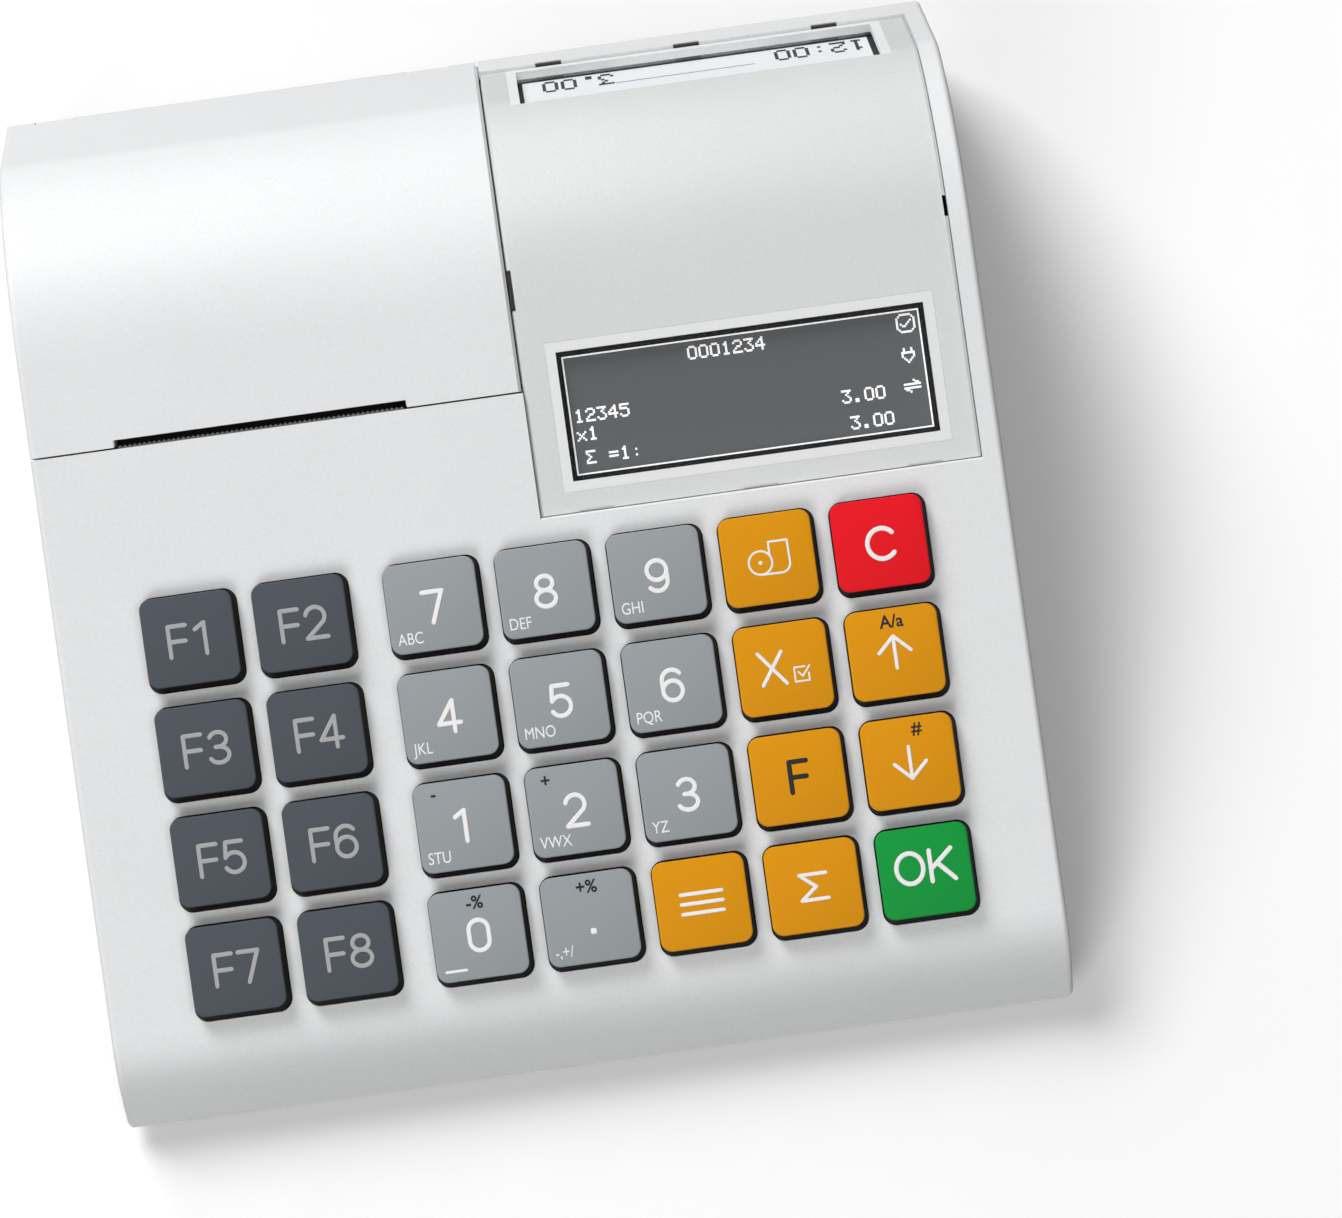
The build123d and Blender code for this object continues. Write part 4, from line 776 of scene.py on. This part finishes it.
def pointMark():
    side = point["side"]
    mark = roundedPlate(side, side, point["thick"], point["corner"], point["edge"])
    mark.data.transform(Matrix.Translation(point["spot"]))
    return mark


def menuMark():
    lines = [[(-4.2, y), (4.2, y)] for y in (2.0, 0, -2.0)]
    return strokeMark(scaled(lines), printing["signPen"])


def totalMark():
    line = [(2.7, 2.6), (-2.7, 2.6), (0.5, 0), (-2.7, -2.6), (2.7, -2.6)]
    return strokeMark(scaled([line]), printing["signPen"])


pennedMarks = {
    "clear": [("C", 0.1, -0.1)],
    "ok": [("O", -3.1, 0.9), ("K", 3.3, 0.9)],
    "function": [("F", 0.1, 0.2)],
}
drawnMarks = {
    "dot": pointMark,
    "up": lambda: arrowMark(1),
    "down": lambda: arrowMark(-1),
    "paper_feed": paperFeedMark,
    "correction": correctionMark,
    "menu": menuMark,
    "total": totalMark,
}


def mainMark(label):
    if label in drawnMarks:
        return drawnMarks[label]()
    if label in pennedMarks:
        return penned(pennedMarks[label], printing["pen"])
    if label[0] == "f":
        places = zip(("F", label[1]), printing["functionSpots"])
        return penned([(sign, *spot) for sign, spot in places], printing["functionPen"])
    return penned([(label, *printing["digitSpot"])], printing["pen"])


# All keys have a face of one size, so its plate is modelled once.
faceWidth, faceHeight = faceSpan("key_5", deckNormal, deckBack)[1:]
keyPlate = roundedPlate(
    faceWidth + 2 * keyFace["overhang"],
    faceHeight + 2 * keyFace["overhang"],
    keyFace["proud"] + keyFace["sunk"],
    keyFace["corner"],
    keyFace["edge"],
)


def dressKey(label, tone):
    node = "key_" + label
    body = node + "_body"
    centre = faceSpan(node, deckNormal, deckBack)[0]
    top = placeOn(centre + deckNormal * keyFace["proud"], deckNormal, deckBack)
    settle(copied(keyPlate), top, "keyFace_" + label, body, tone, "key_" + tone)
    ink = "inkGrey" if tone == "slate" else "inkBlack" if label == "function" else "inkWhite"
    rise = keyFace["proud"] + printing["rise"]
    lettering = placeOn(centre + deckNormal * rise, deckNormal, deckBack)
    settle(mainMark(label), lettering, "keyMark_" + label, body, ink)
    if label in letterGroups:
        spot = (printing["lettersX"], printing["lettersY"])
        letters = printedText(
            letterGroups[label], printing["letter"], spot, squeeze=printing["letterSqueeze"]
        )
        settle(letters, lettering, "keyLetters_" + label, body, "inkWhite")
    if label in smallMarks:
        sign, across = smallMarks[label]
        spot = (across * mm, printing["topY"])
        small = printedText(
            sign,
            printing["small"],
            spot,
            printing["smallBold"],
            printing["smallSqueeze"],
            centred=True,
        )
        settle(small, lettering, "keySmall_" + label, body, "inkBlack")
    if label == "0":
        bar = strokeMark(scaled([printing["bar"]]), printing["barPen"])
        settle(bar, lettering, "keyBar_0", body, "inkWhite")


for tone, labels in keysByTone.items():
    for label in labels:
        dressKey(label, tone)
bpy.data.objects.remove(keyPlate)
print("keys dressed:", sum(len(labels) for labels in keysByTone.values()))

# Screens
screen = {
    "rise": 0.02 * mm,
    "frameWidth": 1.05 * mm,
    "lineWidth": 0.33 * mm,
    "dotShare": 1.12,  # side of a lit dot against its pixel
    "charStep": 6,  # pixels from one character to the next
    "charHalf": 3.5,  # half a character's height in pixels
    "sideOverlap": 1.5 * mm,
    "bezelEdge": 0.5 * mm,  # its outermost wall, left out when its window is measured
    "bezelDepth": 4 * mm,
}
dotDigits = {
    "0": "01110 10001 10001 10001 10001 10001 01110",
    "1": "00100 01100 00100 00100 00100 00100 01110",
    "2": "01110 10001 00001 00110 01000 10000 11111",
    "3": "11111 00010 00100 00010 00001 10001 01110",
    "4": "00010 00110 01010 10010 11111 00010 00010",
    "5": "11111 10000 11110 00001 00001 10001 01110",
    "6": "00110 01000 10000 11110 10001 10001 01110",
    "7": "11111 00001 00010 00100 01000 01000 01000",
    "8": "01110 10001 10001 01110 10001 10001 01110",
    "9": "01110 10001 10001 01111 00001 00010 01100",
    ".": "00000 00000 00000 00000 00000 01100 01100",
    "x": "00000 00000 10001 01010 00100 01010 10001",
    ":": "00000 00000 00100 00000 00000 00100 00000",
    "=": "00000 00000 11111 00000 11111 00000 00000",
    "S": "11111 10000 01000 00100 01000 10000 11111",  # the sum sign
    " ": "00000 00000 00000 00000 00000 00000 00000",
}
icons = {
    "tick": (
        "0011111100 0100000010 1000000001 1000000101 1000001001 "
        "1010010001 1001100001 1000000001 0100000010 0011111100"
    ),
    "plug": "0100010 0100010 1111111 1000001 1000001 0100010 0010100 0001000",
    "swap": "000001000 000000110 111111111 000000000 111111111 011000000 000100000",
}


def dotCells(rows, corner, pixel):
    # lower-left corners of the lit pixels of a pattern whose top left is at corner
    cells = []
    for down, row in enumerate(rows.split()):
        for along, lit in enumerate(row):
            if lit == "1":
                cells.append((corner[0] + along * pixel, corner[1] - (down + 1) * pixel))
    return cells


def patternAt(rows, middle, pixel):
    # a pattern round its middle
    lines = rows.split()
    corner = (middle[0] - len(lines[0]) * pixel / 2, middle[1] + len(lines) * pixel / 2)
    return dotCells(rows, corner, pixel)


def dotLine(text, corner, pixel):
    cells = []
    for place, letter in enumerate(text):
        left = corner[0] + place * screen["charStep"] * pixel
        cells += dotCells(dotDigits[letter], (left, corner[1]), pixel)
    return cells


def dotMesh(name, cells, pixel):
    side = pixel * screen["dotShare"]
    corners, quads = [], []
    for x, y in cells:
        first = len(corners)
        corners += [(x, y, 0), (x + side, y, 0), (x + side, y + side, 0), (x, y + side, 0)]
        quads.append((first, first + 1, first + 2, first + 3))
    mesh = bpy.data.meshes.new(name)
    mesh.from_pydata(corners, [], quads)
    piece = bpy.data.objects.new(name, mesh)
    bpy.context.scene.collection.objects.link(piece)
    return piece


def screenPanel(width, height):
    deselectAll()
    bpy.ops.mesh.primitive_plane_add(size=1, location=(0, 0, 0))
    panel = bpy.context.object
    panel.data.transform(Matrix.Diagonal((width, height, 1, 1)))
    return panel


def screenBorder(width, height, line):
    # inset of a plane, with the middle taken out
    border = screenPanel(width, height)
    activate(border)
    bpy.ops.object.mode_set(mode="EDIT")
    bpy.ops.mesh.select_all(action="SELECT")
    bpy.ops.mesh.inset(thickness=line, depth=0)
    bpy.ops.mesh.delete(type="FACE")
    bpy.ops.object.mode_set(mode="OBJECT")
    return border


def windowWidth(bezel, normal):
    # width of the clear opening inside a bezel: the inner rim of its ring
    points = [v.co for v in nodes[bezel].data.vertices]
    lowX, highX = min(p.x for p in points), max(p.x for p in points)
    middle, reach = (lowX + highX) / 2, (highX - lowX) / 2 - screen["bezelEdge"]
    top = max(p.dot(normal) for p in points)
    inner = [p for p in points if abs(p.x - middle) < reach]
    flat = [p for p in inner if p.dot(normal) > top - screen["bezelDepth"]]
    return max(p.x for p in flat) - min(p.x for p in flat)


def screenSet(node, bezel, normal, back):
    # centre and size of the visible part of a display module
    centre, _, height = faceSpan(node, normal, back)
    return centre, windowWidth(bezel, normal), height - 2 * screen["sideOverlap"]


def onScreen(centre, normal, back, layer):
    return placeOn(centre + normal * screen["rise"] * layer, normal, back)


def rowCells(rows, pixel, stretch=1.0):
    # rows of characters, each with its left end and the height of its middle in millimetres
    cells = []
    for text, left, middle in rows:
        high = middle / stretch * mm + screen["charHalf"] * pixel
        cells += dotLine(text, (left * mm, high), pixel)
    return cells


operatorText = {
    "pixel": 0.39 * mm,
    "rows": [
        ("0001234", -11.2, 9.5),
        ("12345", -35.9, -0.2),
        ("x1", -35.9, -4.0),
        ("S =1:", -34.6, -8.8),
        ("3.00", 18.9, -3.8),
        ("3.00", 20.0, -9.3),
    ],
    "icons": [("tick", 33.9, 9.5), ("plug", 33.6, 2.9), ("swap", 33.6, -3.4)],
}
centre, width, height = screenSet("operator_lcd", "operator_bezel", deckNormal, deckBack)
width, height = width - 2 * screen["frameWidth"], height - 2 * screen["frameWidth"]
layers = [onScreen(centre, deckNormal, deckBack, layer) for layer in (1, 2, 3)]
panel = screenPanel(width, height)
settle(panel, layers[0], "operatorScreen", "root", "screenDark", "lcd")
border = screenBorder(width, height, screen["lineWidth"])
settle(border, layers[1], "operatorScreenLine", "root", "pixelWhite")
pixel = operatorText["pixel"]
textCells = rowCells(operatorText["rows"], pixel)
for icon, x, y in operatorText["icons"]:
    textCells += patternAt(icons[icon], (x * mm, y * mm), pixel)
dots = dotMesh("operatorDots", textCells, pixel)
settle(dots, layers[2], "operatorDots", "root", "pixelWhite")

# The customer's screen faces the rear, so its back axis runs up the facet.
lcdPoints = [v.co for v in nodes["customer_lcd"].data.vertices]
topPoint = max(lcdPoints, key=lambda p: p.z)
rearPoint = max(lcdPoints, key=lambda p: p.y)
up = topPoint - rearPoint
facetUp = Vector((0, up.y, up.z)).normalized()
facetNormal = Vector((0, facetUp.z, -facetUp.y))
customerText = {
    "pixel": 0.66 * mm,
    "stretch": 2.0,
    "rows": [("12:00", -36.0, -7.4), ("3.00", 17.5, -7.4)],
    "line": (29.5 * mm, 0.4 * mm),
    "lineSpot": (2.5 * mm, -3.0 * mm, 0),
}
centre, width, height = screenSet("customer_lcd", "customer_bezel", facetNormal, facetUp)
layers = [onScreen(centre, facetNormal, facetUp, layer) for layer in (1, 2)]
panel = screenPanel(width - 2 * screen["frameWidth"], height)
settle(panel, layers[0], "customerScreen", "root", "screenPale", "lcd")
pixel, stretch = customerText["pixel"], customerText["stretch"]
dots = dotMesh("customerDots", rowCells(customerText["rows"], pixel, stretch), pixel)
dots.data.transform(Matrix.Diagonal((1, stretch, 1, 1)))
settle(dots, layers[1], "customerDots", "root", "pixelDark")
divider = screenPanel(*customerText["line"])
divider.data.transform(Matrix.Translation(customerText["lineSpot"]))
settle(divider, layers[1], "customerLine", "root", "pixelDark")
print("screens made")

# Painted shade: dark plates sunk just under the three slots of the rear strip. They stand for
# the shade in the gaps behind the display cover's snaps.
slotShade = {
    "length": 5.4 * mm,
    "wide": 1.0 * mm,
    "thick": 1.5 * mm,
    "sunk": 0.2 * mm,
    "corner": 0.2 * mm,
    "edge": 0.08 * mm,
    "places": (-28.35 * mm, 1.2 * mm, 30.75 * mm),
    "down": -16.15 * mm,
}
facetTop = max(v.co.dot(facetNormal) for v in nodes["top_case"].data.vertices)
slotShadeCentre = centre + facetNormal * (facetTop - slotShade["sunk"] - centre.dot(facetNormal))
slotShadePlate = roundedPlate(
    slotShade["length"], slotShade["wide"], slotShade["thick"], slotShade["corner"], slotShade["edge"]
)
strip = placeOn(slotShadeCentre, facetNormal, facetUp)
# each copy is painted shade in one slot
for number, across in enumerate(slotShade["places"], start=1):
    spot = strip @ Matrix.Translation((across, slotShade["down"], 0))
    settle(copied(slotShadePlate), spot, "rearSlotShade_" + str(number), "root", "darkPlastic")
bpy.data.objects.remove(slotShadePlate)
print("slotShades made:", len(slotShade["places"]))

# Studio
studio = {
    "floorSize": 6,
    "floorTone": 0.97,  # where it is looked at
    "floorBounce": 0.35,  # in the light that it throws back
    "floorGlow": 0.08,
    "worldTone": 0.03,
    "worldGloss": 0.3,
    "lamps": {
        "rearLeft": {"place": (-0.8, 1.28, 1.6), "size": 1.0, "energy": 34.0},
        "rearLow": {"place": (-0.45, 1.87, 0.78), "size": 1.0, "energy": 10.4},
        "frontLeft": {"place": (-0.75, -1.47, 1.15), "size": 1.0, "energy": 15.4},
        "above": {"place": (0.55, -0.75, 1.9), "size": 1.0, "energy": 8.9},
    },
}


def paleFloor():
    deselectAll()
    bpy.ops.mesh.primitive_plane_add(size=studio["floorSize"], location=(0, 0, 0))
    floor = bpy.context.object
    floor.name = "floor"
    finish = Finish("floorPaper", Roughness=0.9, Specular_IOR_Level=0.1)
    path = finish.node("LightPath", output="Is Camera Ray")
    seen, bounced = [(studio[key],) * 3 + (1,) for key in ("floorTone", "floorBounce")]
    finish.send("Base Color", finish.blend(path, bounced, seen))
    strength = path * studio["floorGlow"]
    glow = finish.node("Emission", {}, {"Color": (1, 1, 1, 1), "Strength": strength})
    plain = Wire(finish.tree, finish.shader.outputs[0])
    both = finish.node("AddShader", {}, {0: plain, 1: glow})
    output = finish.tree.nodes["Material Output"]
    finish.tree.links.new(both.socket, output.inputs["Surface"])
    floor.data.materials.append(finish.material)


def softBox(name, place, size, energy):
    lamp = bpy.data.lights.new(name, "AREA")
    lamp.shape = "SQUARE"
    lamp.size = size
    lamp.energy = energy
    box = bpy.data.objects.new(name, lamp)
    bpy.context.scene.collection.objects.link(box)
    box.location = place
    box.rotation_euler = (-Vector(place)).to_track_quat("-Z", "Y").to_euler()


paleFloor()
for name, lamp in studio["lamps"].items():
    softBox(name, lamp["place"], lamp["size"], lamp["energy"])

# The backdrop is white where it is looked at, and lights the register only a little.
world = bpy.data.worlds.new("studioWorld")
world.use_nodes = True
bpy.context.scene.world = world
backdrop = world.node_tree.nodes["Background"]
backdrop.inputs["Color"].default_value = (1, 1, 1, 1)
path = world.node_tree.nodes.new("ShaderNodeLightPath")
looked = Wire(world.node_tree, path.outputs["Is Camera Ray"])
passed = Wire(world.node_tree, path.outputs["Is Transmission Ray"])
mirrored = Wire(world.node_tree, path.outputs["Is Glossy Ray"])
direct = (looked + passed) * (1 - studio["worldTone"])
level = direct + mirrored * studio["worldGloss"] + studio["worldTone"]
world.node_tree.links.new(level.socket, backdrop.inputs["Strength"])

# Camera
view = {
    "place": (4.81 * mm, -419.54 * mm, 1227.56 * mm),
    "turn": (18.377, 1.546, -7.84),
    "focal": 163.565,
    "sensor": 36.0,
    "reach": 20,  # metres to the far clip
}
camera = bpy.data.objects.new("camera", bpy.data.cameras.new("camera"))
bpy.context.scene.collection.objects.link(camera)
camera.data.sensor_width = view["sensor"]
camera.data.lens = view["focal"]
camera.data.clip_end = view["reach"]
camera.location = view["place"]
camera.rotation_euler = [math.radians(angle) for angle in view["turn"]]
bpy.context.scene.camera = camera
bpy.context.scene.view_settings.view_transform = "Standard"
print("studio ready")
